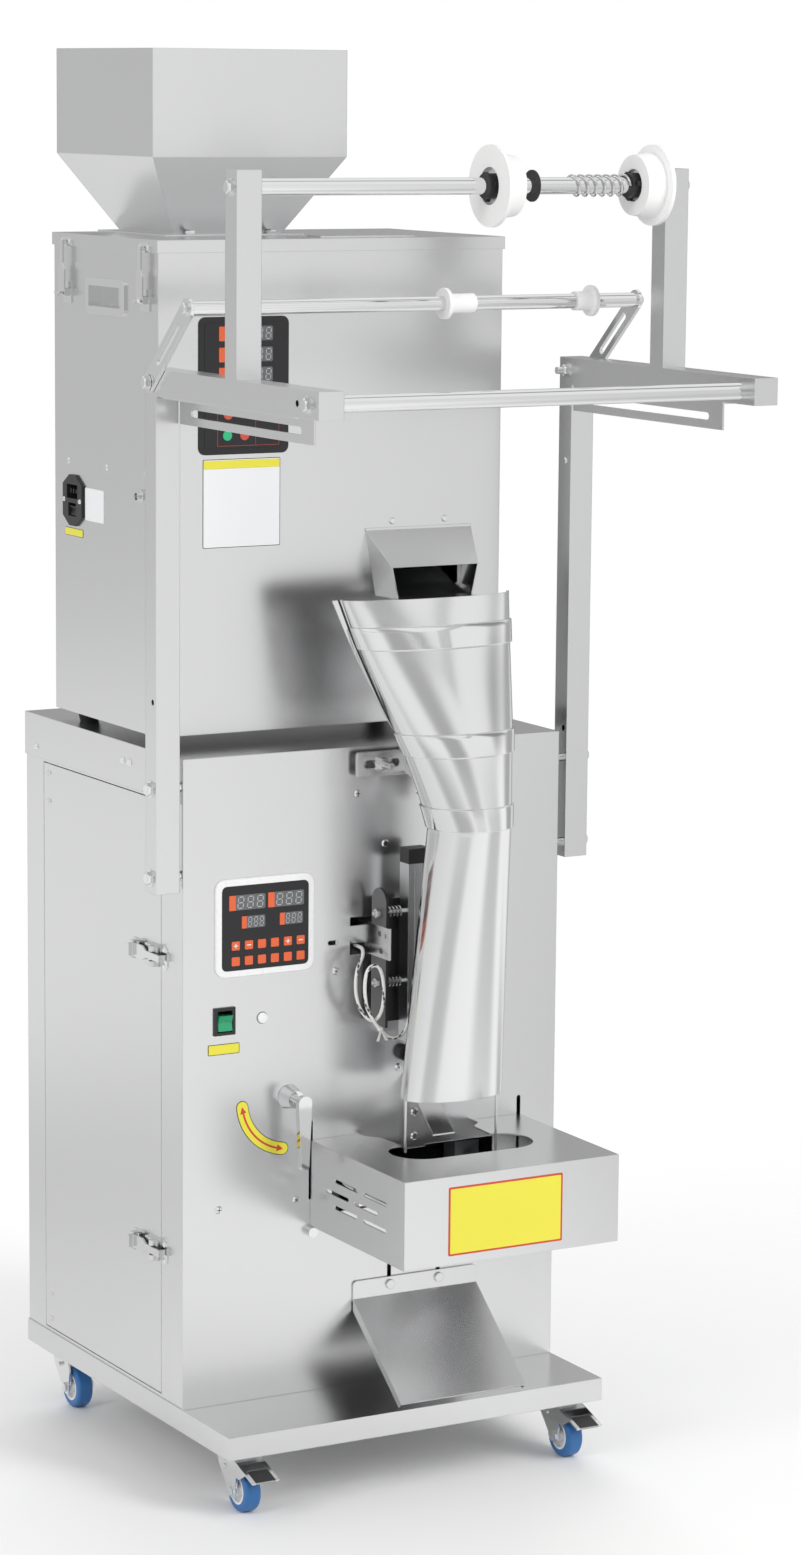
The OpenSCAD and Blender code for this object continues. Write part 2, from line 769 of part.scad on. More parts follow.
// Roll frame: post, arm and upright of each side, with the slotted angle under the arm
module square_tube(low, high, open_low, open_high) {
    wall = [tube_wall, tube_wall, tube_wall];
    difference() {
        block(low, high);
        block(low + wall - open_low, high - wall + open_high);
    }
}

strip_h = 30;
strip_t = 2;
strip_slot = 250;
post_hole_z = 800;
post_hole_r = 3.2;
module side_frame() {
    difference() {
        square_tube([post_in, arm_back - tube_d, post_low], [post_out, arm_back, arm_z], [0, 0, 5], [0, 0, 0]);
        x_rod(post_out - tube_wall - 1, post_out + 1, 2.5, post_hole_z, post_hole_r);
        x_rod(post_in - 1, post_in + tube_wall + 1, 2.5, post_hole_z - 62, post_hole_r + 0.8);
    }
    difference() {
        square_tube([post_in, -arm_reach, arm_z], [post_out, arm_back, arm_top], [0, 0, 0], [0, 5, 0]);
        x_rod(post_in - 1, post_out + 1, pivot_y, pivot_z, bolt_r);
        x_rod(post_out - 5, post_out + 1, -arm_reach + 46, arm_mid, 3.5);
    }
    square_tube([post_in, -upright_y - tube_d / 2, arm_top], [post_out, -upright_y + tube_d / 2, arm_top + upright_h],
                [0, 0, 0], [0, 0, 5]);
    y0 = -arm_reach + 60;
    y1 = arm_back - tube_d - 4;
    block([post_in, y0, arm_z - strip_t], [post_out - 4, y1, arm_z]);
    difference() {
        block([post_in, y0, arm_z - strip_h], [post_in + strip_t, y1, arm_z]);
        translate([0, (y0 + y1) / 2, arm_z - strip_h / 2 - 2]) side_plate(post_in - 1, post_in + 3)
            slot_2d(strip_slot, 4);
    }
}

module roll_frame() {
    color(steel) {
        side_frame();
        mirror([1, 0, 0]) side_frame();
    }
}

module film_bars() {
    color(polished) {
        x_rod(-post_in, post_in, -upright_y, shaft_z, bar_r);
        x_rod(-post_in, post_in, -front_bar_y, arm_mid, bar_r);
    }
}

// Roll cones on the film shaft
cone_r = 43.5;
cone_l = 27.5;
cone_left_x = 32;
cone_right_x = 240;
cup_r = 20;
end_cup = 6;
collar_r = 13.5;
collar_l = 14;
module roll_cone() {
    color(white)
        rotate([0, 90, 0]) rotate_extrude($fn = 72)
            difference() {
                polygon([[0, 0], [cone_r, 0], [cone_r, 4.5], [cone_r - 8, 5.5],
                         [cone_r - 11, cone_l], [0, cone_l]]);
                translate([-1, -1]) square([bar_r + run_c + 1, cone_l + 2]);
                translate([0, -1]) square([cup_r, 9]);
                translate([0, cone_l - end_cup]) square([collar_r + 4, end_cup + 1]);
            }
}

module shaft_collar() {
    color(dark)
        difference() {
            union() {
                rotate([0, 90, 0]) cylinder(h = collar_l, r = collar_r);
                for (a = [90, 210, 330])
                    rotate([a, 0, 0]) translate([collar_l / 2 - 3, 0, collar_r - 1]) cube([6, 5, 4]);
            }
            translate([-1, 0, 0]) rotate([0, 90, 0]) cylinder(h = collar_l + 2, r = bar_r);
        }
}

collar_right_x = cone_right_x - cone_l + end_cup - collar_l - pass_c;
module shaft_collars() {
    translate([cone_left_x - collar_l + 7.5, -upright_y, shaft_z]) shaft_collar();
    translate([collar_right_x, -upright_y, shaft_z]) shaft_collar();
    color(polished)
        translate([84, -upright_y, shaft_z]) rotate([0, 90, 0])
            difference() {
                cylinder(h = 2, r = 17);
                translate([0, 0, -1]) cylinder(h = 4, r = bar_r);
            }
}

// Spring: rings swept along a helix
spring_r = 11.2;
wire_r = 1.3;
spring_l = 70;
spring_turns = 6.5;
module shaft_spring() {
    steps = 104;
    sides = 6;
    pts = [for (i = [0:steps], j = [0:sides - 1])
        let (a = 360 * spring_turns * i / steps, b = 360 * j / sides, r = spring_r + wire_r * cos(b))
        [i / steps * spring_l + wire_r * sin(b), r * cos(a), r * sin(a)]];
    faces = concat(
        [[for (j = [0:sides - 1]) j]],
        [for (i = [0:steps - 1], j = [0:sides - 1])
            let (k = (j + 1) % sides)
            [i * sides + j, (i + 1) * sides + j, (i + 1) * sides + k, i * sides + k]],
        [[for (j = [sides - 1:-1:0]) steps * sides + j]]);
    color(polished)
        translate([collar_right_x - spring_l - wire_r - 0.3, -upright_y, shaft_z])
            polyhedron(pts, faces, convexity = 6);
}

// Dancer: links, bar and film collars
module link_2d() {
    difference() {
        union() {
            circle(link_w / 2);
            translate([link_l, 0]) circle(link_w / 2);
            translate([0, -link_w / 2]) square([link_l, link_w]);
        }
        circle(bolt_r + run_c);
        translate([link_l * 0.52, 0]) slot_2d(link_l * 0.56, 4);
    }
}

module dancer_frame() {
    color(polished) {
        for (side = [-1, 1])
            translate([0, pivot_y, pivot_z])
                side_plate(side > 0 ? link_x : -link_x - link_t, side > 0 ? link_x + link_t : -link_x)
                    rotate(180 - link_angle) link_2d();
        x_rod(-link_x, link_x, dancer_y, dancer_z, dancer_r);
        for (side = [-1, 1])
            hex_head(side * (link_x + link_t), side, dancer_y, dancer_z, 11, 4);
    }
}

film_collar_r = 17;
sleeve_r = 10.5;
collar_flange = 4.5;
dancer_left_x = 30;
dancer_right_x = 221;
dancer_left_l = 38;
dancer_right_l = 24;
module film_collar(length) {
    color(white)
        rotate([0, 90, 0])
            difference() {
                union() {
                    cylinder(h = collar_flange, r = film_collar_r);
                    cylinder(h = length, r = sleeve_r);
                }
                translate([0, 0, -1]) cylinder(h = length + 2, r = dancer_r + run_c);
            }
}

// Film former and product tube: ellipses that change with height
spout_rim = spout_low + 9;
neck_high = cab_h - 54;
neck_low = cab_h - 77;
function mix(a, b, t) = a + (b - a) * t;
sections = [
    [tube_low, -film_y, 62, 36],
    [mix(tube_low, neck_low, 0.5), -film_y - 16, 55, 39],
    [neck_low, -film_y - 33, 47, 44.5],
    [neck_high, -film_y - 27, 52, 43],
    [mix(neck_high, spout_rim, 0.25), -film_y - 8, 65, 40],
    [mix(neck_high, spout_rim, 0.37), -film_y + 4, 73, 38],
    [mix(neck_high, spout_rim, 0.76), -film_y + 46, 95, 30],
    [spout_rim, -film_y + 69, 107, 25]
];
crease = 2;
function column(c) = [for (s = sections) [s[0], s[c]]];
// Smooth value between the sections, with one crease at the neck
function smooth(table, z) =
    let (last = len(table) - 1,
         i = max([for (k = [0:last - 1]) if (k == 0 || table[k][0] <= z) k]),
         a = table[i], b = table[i + 1], h = b[0] - a[0], t = min(max((z - a[0]) / h, 0), 1),
         chord = b[1] - a[1],
         from = i == 0 || i == crease ? chord : (b[1] - table[i - 1][1]) / (b[0] - table[i - 1][0]) * h,
         to = i + 1 == last || i + 1 == crease ? chord
             : (table[i + 2][1] - a[1]) / (table[i + 2][0] - a[0]) * h)
    a[1] + t * from + t * t * (3 * chord - 2 * from - to) + t * t * t * (from + to - 2 * chord);
former_y_at = column(1);
former_a_at = column(2);
former_b_at = column(3);
seam_at = [[tube_low, 168], [neck_low, 166], [neck_high, 150], [mix(neck_high, spout_rim, 0.5), 112], [spout_rim, 92]];
function shell_point(z, phi, grow) = [
    film_x + (smooth(former_a_at, z) + grow) * sin(phi),
    smooth(former_y_at, z) - (smooth(former_b_at, z) + grow) * cos(phi),
    z
];

// An open sheet: outer and inner edge of each ring form one loop
module open_sheet(levels, grow_out, grow_in, n) {
    m = 2 * (n + 1);
    top = len(levels) - 1;
    pts = [for (z = levels, i = [0:m - 1])
        let (phi_end = lookup(z, seam_at),
             k = i <= n ? i : m - 1 - i,
             phi = phi_end * (2 * k / n - 1))
        shell_point(z, phi, i <= n ? grow_out : grow_in)];
    faces = concat(
        [for (r = [0:top - 1], i = [0:m - 1])
            [r * m + i, (r + 1) * m + i, (r + 1) * m + (i + 1) % m, r * m + (i + 1) % m]],
        [for (i = [0:n - 1]) [top * m + i, top * m + m - 1 - i, top * m + m - 2 - i, top * m + i + 1]],
        [for (i = [0:n - 1]) [i, i + 1, m - 2 - i, m - 1 - i]]);
    polyhedron(pts, faces, convexity = 6);
}

// A closed tube with a wall
module closed_tube(levels, grow_out, grow_in, n) {
    top = len(levels) - 1;
    m = 2 * n;
    pts = [for (z = levels, i = [0:m - 1])
        shell_point(z, 360 * (i % n) / n - 180, i < n ? grow_out : grow_in)];
    faces = concat(
        [for (r = [0:top - 1], i = [0:n - 1]) let (k = (i + 1) % n)
            [r * m + i, (r + 1) * m + i, (r + 1) * m + k, r * m + k]],
        [for (r = [0:top - 1], i = [0:n - 1]) let (k = (i + 1) % n)
            [r * m + n + i, r * m + n + k, (r + 1) * m + n + k, (r + 1) * m + n + i]],
        [for (i = [0:n - 1]) let (k = (i + 1) % n)
            [top * m + i, top * m + n + i, top * m + n + k, top * m + k]],
        [for (i = [0:n - 1]) let (k = (i + 1) % n) [i, k, n + k, n + i]]);
    polyhedron(pts, faces, convexity = 6);
}

band_h = 24;
band_t = 2;
hem_r = 1.6;
bands = [neck_low, mix(neck_high, spout_rim, 0.25), spout_rim - 53];
former_levels = concat(
    [tube_low, mix(tube_low, neck_low, 0.3), mix(tube_low, neck_low, 0.6), neck_low],
    [for (i = [0:8]) mix(neck_high, spout_rim, i / 8)]);
module film_former() {
    color(polished) {
        open_sheet(former_levels, 0, -former_t, 36);
        for (z = bands)
            closed_tube([z, z + band_h], band_t, -former_t / 2, 36);
        for (side = [-1, 1])
            cord_tube([for (i = [4:12]) let (z = former_levels[i]) shell_point(z, side * lookup(z, seam_at), 0)],
                      hem_r, 16, 6);
        folded_edge([for (i = [5:12]) former_levels[i]]);
    }
}

// Flange along the upper left edge, broadest at the rim
fold_w = 10;
module folded_edge(levels) {
    top = len(levels) - 1;
    pts = [for (i = [0:top], k = [0:3])
        let (z = levels[i], p = shell_point(z, -lookup(z, seam_at), -former_t / 2), w = fold_w * i / top)
        p + [k < 2 ? hem_r / 2 : -hem_r - w, k == 0 || k == 3 ? -former_t / 2 : former_t / 2, 0]];
    faces = concat(
        [[0, 1, 2, 3]],
        [for (i = [0:top - 1], k = [0:3])
            [i * 4 + k, (i + 1) * 4 + k, (i + 1) * 4 + (k + 1) % 4, i * 4 + (k + 1) % 4]],
        [[for (k = [3:-1:0]) top * 4 + k]]);
    polyhedron(pts, faces, convexity = 4);
}

tube_levels = concat([tube_low + 4], [for (i = [1:11]) former_levels[i]], [spout_rim - 20]);
module product_tube() {
    color(polished)
        closed_tube(tube_levels, -former_t - film_gap, -2 * former_t - film_gap, 36);
}

bracket_z = cab_h - 19;
bracket_y = 8;
stud_x = 2;
lug_x = 22;
seat_gap = 0.3;
function band_back(z, x) =
    smooth(former_y_at, z) + band_out(former_b_at, z) * sqrt(1 - pow(x / band_out(former_a_at, z), 2));
function band_out(table, z) = smooth(table, z) + band_t + seat_gap;
module former_bracket() {
    lug_t = 3;
    clear_y = smooth(former_y_at, bracket_z) + smooth(former_b_at, bracket_z) + 2;
    lug_in = lug_x - lug_t / 2;
    color(polished) {
        difference() {
            translate([35, 0, bracket_z]) upright_plate(-bracket_y - 3, -bracket_y) round_rect(130, 28, 4);
            translate([stud_x, 0, bracket_z]) upright_plate(-bracket_y - 4, -bracket_y + 1) slot_2d(46, 4.5);
        }
        for (x = [film_x - lug_x, film_x + lug_x])
            side_plate(x - lug_t / 2, x + lug_t / 2)
                polygon([[band_back(neck_low + 2, lug_in), neck_low + 2],
                         [band_back(neck_high - 2, lug_in), neck_high - 2],
                         [clear_y, bracket_z - 12], [clear_y, bracket_z + 10],
                         [-bracket_y - 3, bracket_z + 10], [-bracket_y - 3, bracket_z - 10],
                         [clear_y + 14, bracket_z - 20], [band_back(neck_low + 2, lug_in) + 14, neck_low + 2]]);
        block([film_x - lug_x, -bracket_y, bracket_z - 8], [film_x + lug_x, 0, bracket_z + 8]);
        y_rod(-34, 0, stud_x, bracket_z, 3.5);
        y_rod(-bracket_y - 5, -bracket_y - 3, stud_x, bracket_z, 9.5);
        translate([stud_x, -bracket_y - 5, bracket_z]) rotate([90, 0, 0]) cylinder(h = 6, r = 7.2, $fn = 6);
    }
}

spread_r = 1.5;
module bag_spreaders() {
    reach = former_a_end - former_t - film_gap / 2 - seat_gap;
    color(polished) {
        for (side = [-1, 1])
            z_rod(side < 0 ? tube_low - 60 : tube_low - 72, tube_low + 10, film_x + side * reach, -film_y, spread_r);
        // Tongue: a plate on the panel whose upper end bends forward and down
        block([film_x - 14, -2, tube_low - 80], [film_x + 14, 0, tube_low + 8]);
        side_plate(film_x - 14, film_x + 14)
            polygon([[0, tube_low + 8], [-2, tube_low + 8], [-70, tube_low - 48], [-69, tube_low - 50], [0, tube_low + 5]]);
    }
}
former_a_end = sections[0][2];

// Horizontal sealing jaws on two guide rods
rod_x = 92;
block_w = 25;
module jaw_front() {
    face = jaw_y - jaw_gap / 2;
    color(polished) {
        block([film_x - jaw_w / 2, face - block_w, jaw_z - jaw_h / 2], [film_x + jaw_w / 2, face, jaw_z + jaw_h / 2]);
        block([film_x - rod_x - 12, face - block_w - 14, jaw_z - 14],
              [film_x + rod_x + 12, face - block_w, jaw_z + 14]);
        for (side = [-1, 1])
            y_rod(face - block_w - 18, drive_back + 8, film_x + side * rod_x, jaw_z, guide_r);
    }
}

module jaw_rear() {
    face = jaw_y + jaw_gap / 2;
    color(polished)
        difference() {
            union() {
                block([film_x - jaw_w / 2, face, jaw_z - jaw_h / 2],
                      [film_x + jaw_w / 2, face + block_w, jaw_z + jaw_h / 2]);
                block([film_x - rod_x - 12, face + block_w - 14, jaw_z - 14],
                      [film_x + rod_x + 12, face + block_w, jaw_z + 14]);
                block([film_x - 15, face + block_w, jaw_z - 10], [film_x + 15, 30, jaw_z + 10]);
            }
            for (side = [-1, 1])
                y_rod(face - 1, face + block_w + 1, film_x + side * rod_x, jaw_z, guide_r + run_c);
        }
}

// Drive: guide block behind the panel, gearbox and motor on it
drive_back = 62;
module drive_unit() {
    color([0.35, 0.37, 0.40])
        difference() {
            union() {
                block([film_x - rod_x - 16, 36, sheet_t], [film_x - rod_x + 16, drive_back, jaw_z + 18]);
                block([film_x + rod_x - 16, 36, sheet_t], [film_x + rod_x + 16, drive_back, jaw_z + 18]);
                block([film_x - rod_x - 16, 36, sheet_t], [film_x + rod_x + 16, 150, sheet_t + 6]);
                block([film_x - 45, 90, sheet_t + 6], [film_x + 45, 180, sheet_t + 96]);
                y_rod(180, 290, film_x, sheet_t + 55, 36);
                y_rod(66, 90, film_x, sheet_t + 55, 34);
            }
            for (side = [-1, 1])
                y_rod(30, drive_back + 4, film_x + side * rod_x, jaw_z, guide_r + run_c);
        }
}

// Safety cover of the jaws
throat_half = 74;
slot_y = jaw_y - 7;
slot_half = 88;
slot_r = 36;
module safety_cover() {
    x0 = hood_x;
    x1 = hood_x + hood_w;
    z1 = hood_z + hood_h;
    color(steel)
        difference() {
            block([x0, -hood_d, hood_z], [x1, -pass_c, z1]);
            block([x0 + sheet_t, -hood_d + sheet_t, hood_z - 1], [x1 - sheet_t, 1, z1 - sheet_t]);
            translate([hood_mid, slot_y, z1 - 5]) linear_extrude(10) slot_2d(2 * slot_half, slot_r);
            translate([hood_mid, 0, z1 - 5]) linear_extrude(10)
                polygon([[-throat_half, 1], [-throat_half, -14], [-throat_half + 14, -28], [-slot_half + 30, slot_y + slot_r - 2],
                         [-slot_half + slot_r, slot_y], [slot_half - slot_r, slot_y], [slot_half - 30, slot_y + slot_r - 2],
                         [throat_half - 14, -28], [throat_half, -14], [throat_half, 1]]);
            for (row = [0, 1, 2], i = [0, 1])
                translate([0, -84 - 66 * i + (row == 1 ? 20 : 0), hood_z + 65 - 15 * row])
                    side_plate(x0 - 1, x0 + 3) slot_2d(52, 2.2);
        }
    // Tabs that hang in the panel's side slots
    color(steel)
        for (x = [x0, x1 - sheet_t])
            block([x, -pass_c, hood_z + 50], [x + sheet_t, 6, hood_z + 70]);
}

// Discharge chute on its two screws
chute_w = 162;
chute_top = 121;
module discharge_chute() {
    fold_z = 100;
    reach = 116;
    color(steel) {
        difference() {
            translate([chute_x, 0, (chute_top + fold_z) / 2]) upright_plate(-2.3, -0.3)
                round_rect(chute_w, chute_top - fold_z, 5);
            for (x = chute_slots)
                y_rod(-3, 1, x, 112, 2.4);
        }
        side_plate(chute_x - chute_w / 2, chute_x + chute_w / 2)
            polygon([[-0.3, fold_z + 4], [-2.3, fold_z + 4], [-2.3, fold_z], [-reach, 8], [-reach + 1, 6.6], [-0.3, fold_z - 2]]);
        for (x = [chute_x - chute_w / 2, chute_x + chute_w / 2 - 1.5])
            side_plate(x, x + 1.5)
                polygon([[-2.3, fold_z], [-reach, 8], [-reach + 6, 2], [-2.3, fold_z - 14]]);
    }
    color(polished)
        for (x = chute_slots) {
            y_rod(-4.3, 4, x, 112, 2.4);
            y_rod(-4.8, -2.3, x, 112, 5.5);
        }
}

// Vertical sealer: arm through the panel, dark plate, springs on studs, heater bar
seam_x = film_x;
bar_w = 27;
bar_d = 20;
bar_y = -42;
bar_left = seam_x - sealer_open - bar_w;
plate_x = -9.5;
plate_low = sealer_z + 20;
plate_high = plate_low + 140;
stud_z = [sealer_z + 70, sealer_z + 149];
arm_low = hole_z + 2;
arm_high = hole_z + 38;
guide_y = 24;
guide_z = (arm_low + arm_high) / 2;
rail_r = 5;
module sealer_arm() {
    color(polished) {
        difference() {
            union() {
                block([plate_x - 3, bar_y - 14, arm_low], [plate_x, guide_y + 10, arm_high]);
                block([plate_x - 14, guide_y - 10, guide_z - 10], [plate_x + 14, guide_y + 10, guide_z + 10]);
            }
            x_rod(plate_x - 15, plate_x + 15, guide_y, guide_z, rail_r + run_c);
            for (hole = [[bar_y + 8, arm_high - 9], [bar_y + 4, arm_low + 8]])
                translate([0, hole[0], hole[1]]) side_plate(plate_x - 4, plate_x + 1) slot_2d(9, 3);
            block([plate_x - 4, bar_y - 8, arm_high - 12], [plate_x + 1, bar_y - 4, arm_high - 7]);
        }
        for (z = stud_z) {
            x_rod(plate_x - 10, bar_left, bar_y + 10, z, 2.5);
            for (i = [0:4])
                x_rod(plate_x + 4 + i * 4.4, plate_x + 6 + i * 4.4, bar_y + 10, z, 6.5);
            translate([plate_x - 7, bar_y + 10, z]) rotate([0, 90, 0]) cylinder(h = 4, r = 5.5, $fn = 6);
        }
    }
    color(dark) {
        side_plate(plate_x, plate_x + 3) {
            translate([bar_y - 2, plate_low]) square([-bar_y - 9, plate_high - plate_low]);
            translate([(bar_y - 13) / 2, plate_high]) circle((-bar_y - 9) / 2);
        }
        block([plate_x, -14, plate_low], [bar_left + 12, -11, plate_high]);
    }
}

module sealer_bar() {
    cap_h = 17;
    color(polished) {
        difference() {
            block([bar_left, bar_y, sealer_z], [bar_left + bar_w, bar_y + bar_d, sealer_z + sealer_h]);
            for (x = [bar_left + 8, bar_left + 17])
                block([x, bar_y - 1, sealer_z - 1], [x + 1.5, bar_y + 2, sealer_z + sealer_h + 1]);
        }
        for (z = [sealer_z + 40, sealer_z + 120])
            block([bar_left + 4, bar_y + bar_d, z], [bar_left + 10, -14, z + 20]);
    }
    color(dark)
        block([bar_left, bar_y, sealer_z + sealer_h], [bar_left + bar_w, bar_y + bar_d, sealer_z + sealer_h + cap_h]);
}

module sealer_guide() {
    ear = 36;
    color(polished) {
        block([seam_x + 0.5, bar_y, sealer_z], [seam_x + 14, bar_y + bar_d, sealer_z + sealer_h]);
        for (z = [sealer_z + 40, sealer_z + 150])
            block([seam_x + 4, bar_y + bar_d, z], [seam_x + 12, 0, z + 18]);
        x_rod(plate_x - ear, plate_x + ear, guide_y, guide_z, rail_r);
        for (side = [-1, 1])
            block([plate_x + side * ear - 3, sheet_t, guide_z - 10], [plate_x + side * ear + 3, guide_y + 9, guide_z + 10]);
    }
}

// Heater lead: two loops tied together, swept along points chosen by hand
lead_r = 2;
lead_route = [
    [-20, 9, 508], [-20, 0, 508], [-23, -14, 508], [-28, -24, 502], [-38, -30, 488], [-42, -34, 470],
    [-40, -36, 452], [-33, -38, 438], [-23, -41, 431], [-16, -45, 440], [-14, -48, 458], [-16, -50, 478],
    [-21, -51, 492], [-28, -50, 496], [-35, -48, 490], [-37, -46, 474], [-34, -44, 452], [-27, -44, 436],
    [-17, -45, 422], [-6, -46, 412], [4, -47, 410], [13, -47, 416], [20, -46, 430], [25, -44.5, 446]
];
function unit(v) = v / norm(v);
function tangent(path, i) = unit(path[min(i + 1, len(path) - 1)] - path[max(i - 1, 0)]);
function curve_point(path, t) =
    let (i = min(floor(t), len(path) - 2), f = t - i,
         a = path[max(i - 1, 0)], b = path[i], c = path[i + 1], d = path[min(i + 2, len(path) - 1)])
    b + 0.5 * f * (c - a) + f * f * (a - 2.5 * b + 2 * c - 0.5 * d) + f * f * f * (-0.5 * a + 1.5 * b - 1.5 * c + 0.5 * d);
module cord_tube(path, r, rings, sides) {
    fine = [for (i = [0:rings]) curve_point(path, i * (len(path) - 1) / rings)];
    pts = [for (i = [0:rings], j = [0:sides - 1])
        let (t = tangent(fine, i), u = unit(cross(t, [0.35, 0.9, 0.26])), v = cross(t, u), a = 360 * j / sides)
        fine[i] + r * cos(a) * u + r * sin(a) * v];
    faces = concat(
        [[for (j = [0:sides - 1]) j]],
        [for (i = [0:rings - 1], j = [0:sides - 1]) let (k = (j + 1) % sides)
            [i * sides + j, (i + 1) * sides + j, (i + 1) * sides + k, i * sides + k]],
        [[for (j = [sides - 1:-1:0]) rings * sides + j]]);
    polyhedron(pts, faces, convexity = 6);
}

module heater_lead() {
    color(white) cord_tube(lead_route, lead_r, 70, 8);
}

// Crank: hub and lever turn together
crank_hub_r = 8.5;
crank_end_r = 5;
module crank_lever() {
    // Where the tapered sides touch the two round ends
    lean = [sqrt(1 - pow((crank_hub_r - crank_end_r) / crank_l, 2)), (crank_hub_r - crank_end_r) / crank_l];
    color(polished)
        translate([crank_x, 0, crank_z]) {
            y_rod(-crank_y + 2, 14, 0, 0, crank_shaft_r);
            translate([0, -0.4, 0]) rotate([90, 0, 0]) cylinder(h = 18, r1 = 14, r2 = 10);
            upright_plate(-crank_y - 4, -crank_y + 4) {
                circle(crank_hub_r);
                translate([0, -crank_l]) circle(crank_end_r);
                polygon([crank_hub_r * lean, crank_end_r * lean - [0, crank_l],
                         crank_end_r * [-lean[0], lean[1]] - [0, crank_l], crank_hub_r * [-lean[0], lean[1]]]);
            }
        }
}

// Weighing parts inside the upper cabinet
bucket_x = 60;
bucket_y = hopper_y - 30;
bucket_z = upper_z + 293;
bucket_half = 45;
bucket_reach = 40;
bucket_h = 68;
cell_x = housing_right - 14.5;
cell_post = 30;
flap_pin = [bucket_y + bucket_reach + 10, bucket_z + 3];
module weigh_bucket() {
    cell_z = bucket_z + 20;
    color(polished) {
        difference() {
            block([bucket_x - bucket_half, bucket_y - bucket_reach, bucket_z],
                  [bucket_x + bucket_half, bucket_y + bucket_reach, bucket_z + bucket_h]);
            block([bucket_x - bucket_half + 1.5, bucket_y - bucket_reach + 1.5, bucket_z - 1],
                  [bucket_x + bucket_half - 1.5, bucket_y + bucket_reach - 1.5, bucket_z + bucket_h + 1]);
        }
        for (x = [bucket_x - bucket_half, bucket_x + bucket_half - 1.5])
            block([x, bucket_y + bucket_reach - 1, bucket_z], [x + 1.5, flap_pin[0] + 6, bucket_z + 8]);
        x_rod(bucket_x - bucket_half - 2, bucket_x + bucket_half + 2, flap_pin[0], flap_pin[1], 2);
        // Load cell beam and its post
        block([bucket_x + bucket_half, bucket_y - 12, cell_z], [cell_x, bucket_y + 12, cell_z + 24]);
        block([cell_x - cell_post, bucket_y - 20, upper_z + sheet_t], [cell_x, bucket_y + 20, cell_z]);
    }
}

module bucket_flap() {
    inner = bucket_half - 2;
    color(polished)
        difference() {
            union() {
                block([bucket_x - inner, bucket_y - bucket_reach - 4, bucket_z - 2.5],
                      [bucket_x + inner, flap_pin[0], bucket_z - 0.5]);
                x_rod(bucket_x - inner, bucket_x + inner, flap_pin[0], flap_pin[1], 5.5);
            }
            x_rod(bucket_x - bucket_half, bucket_x + bucket_half, flap_pin[0], flap_pin[1], 2 + run_c);
        }
}

pan_x0 = hopper_x - 75;
pan_half = 45;
pan_z = lid_top - 150;
pan_h = 45;
module feeder_pan() {
    color(polished) {
        difference() {
            block([pan_x0, bucket_y - pan_half, pan_z], [bucket_x - 10, bucket_y + pan_half, pan_z + pan_h]);
            block([pan_x0 + 1.5, bucket_y - pan_half + 1.5, pan_z + 1.5],
                  [bucket_x, bucket_y + pan_half - 1.5, pan_z + pan_h + 1]);
        }
        // Vibrating drive under the pan, on its column
        block([hopper_x - 35, bucket_y - 30, pan_z - 62], [hopper_x + 35, bucket_y + 30, pan_z]);
        block([hopper_x - 20, bucket_y - 20, upper_z + sheet_t], [hopper_x + 20, bucket_y + 20, pan_z - 62]);
    }
}

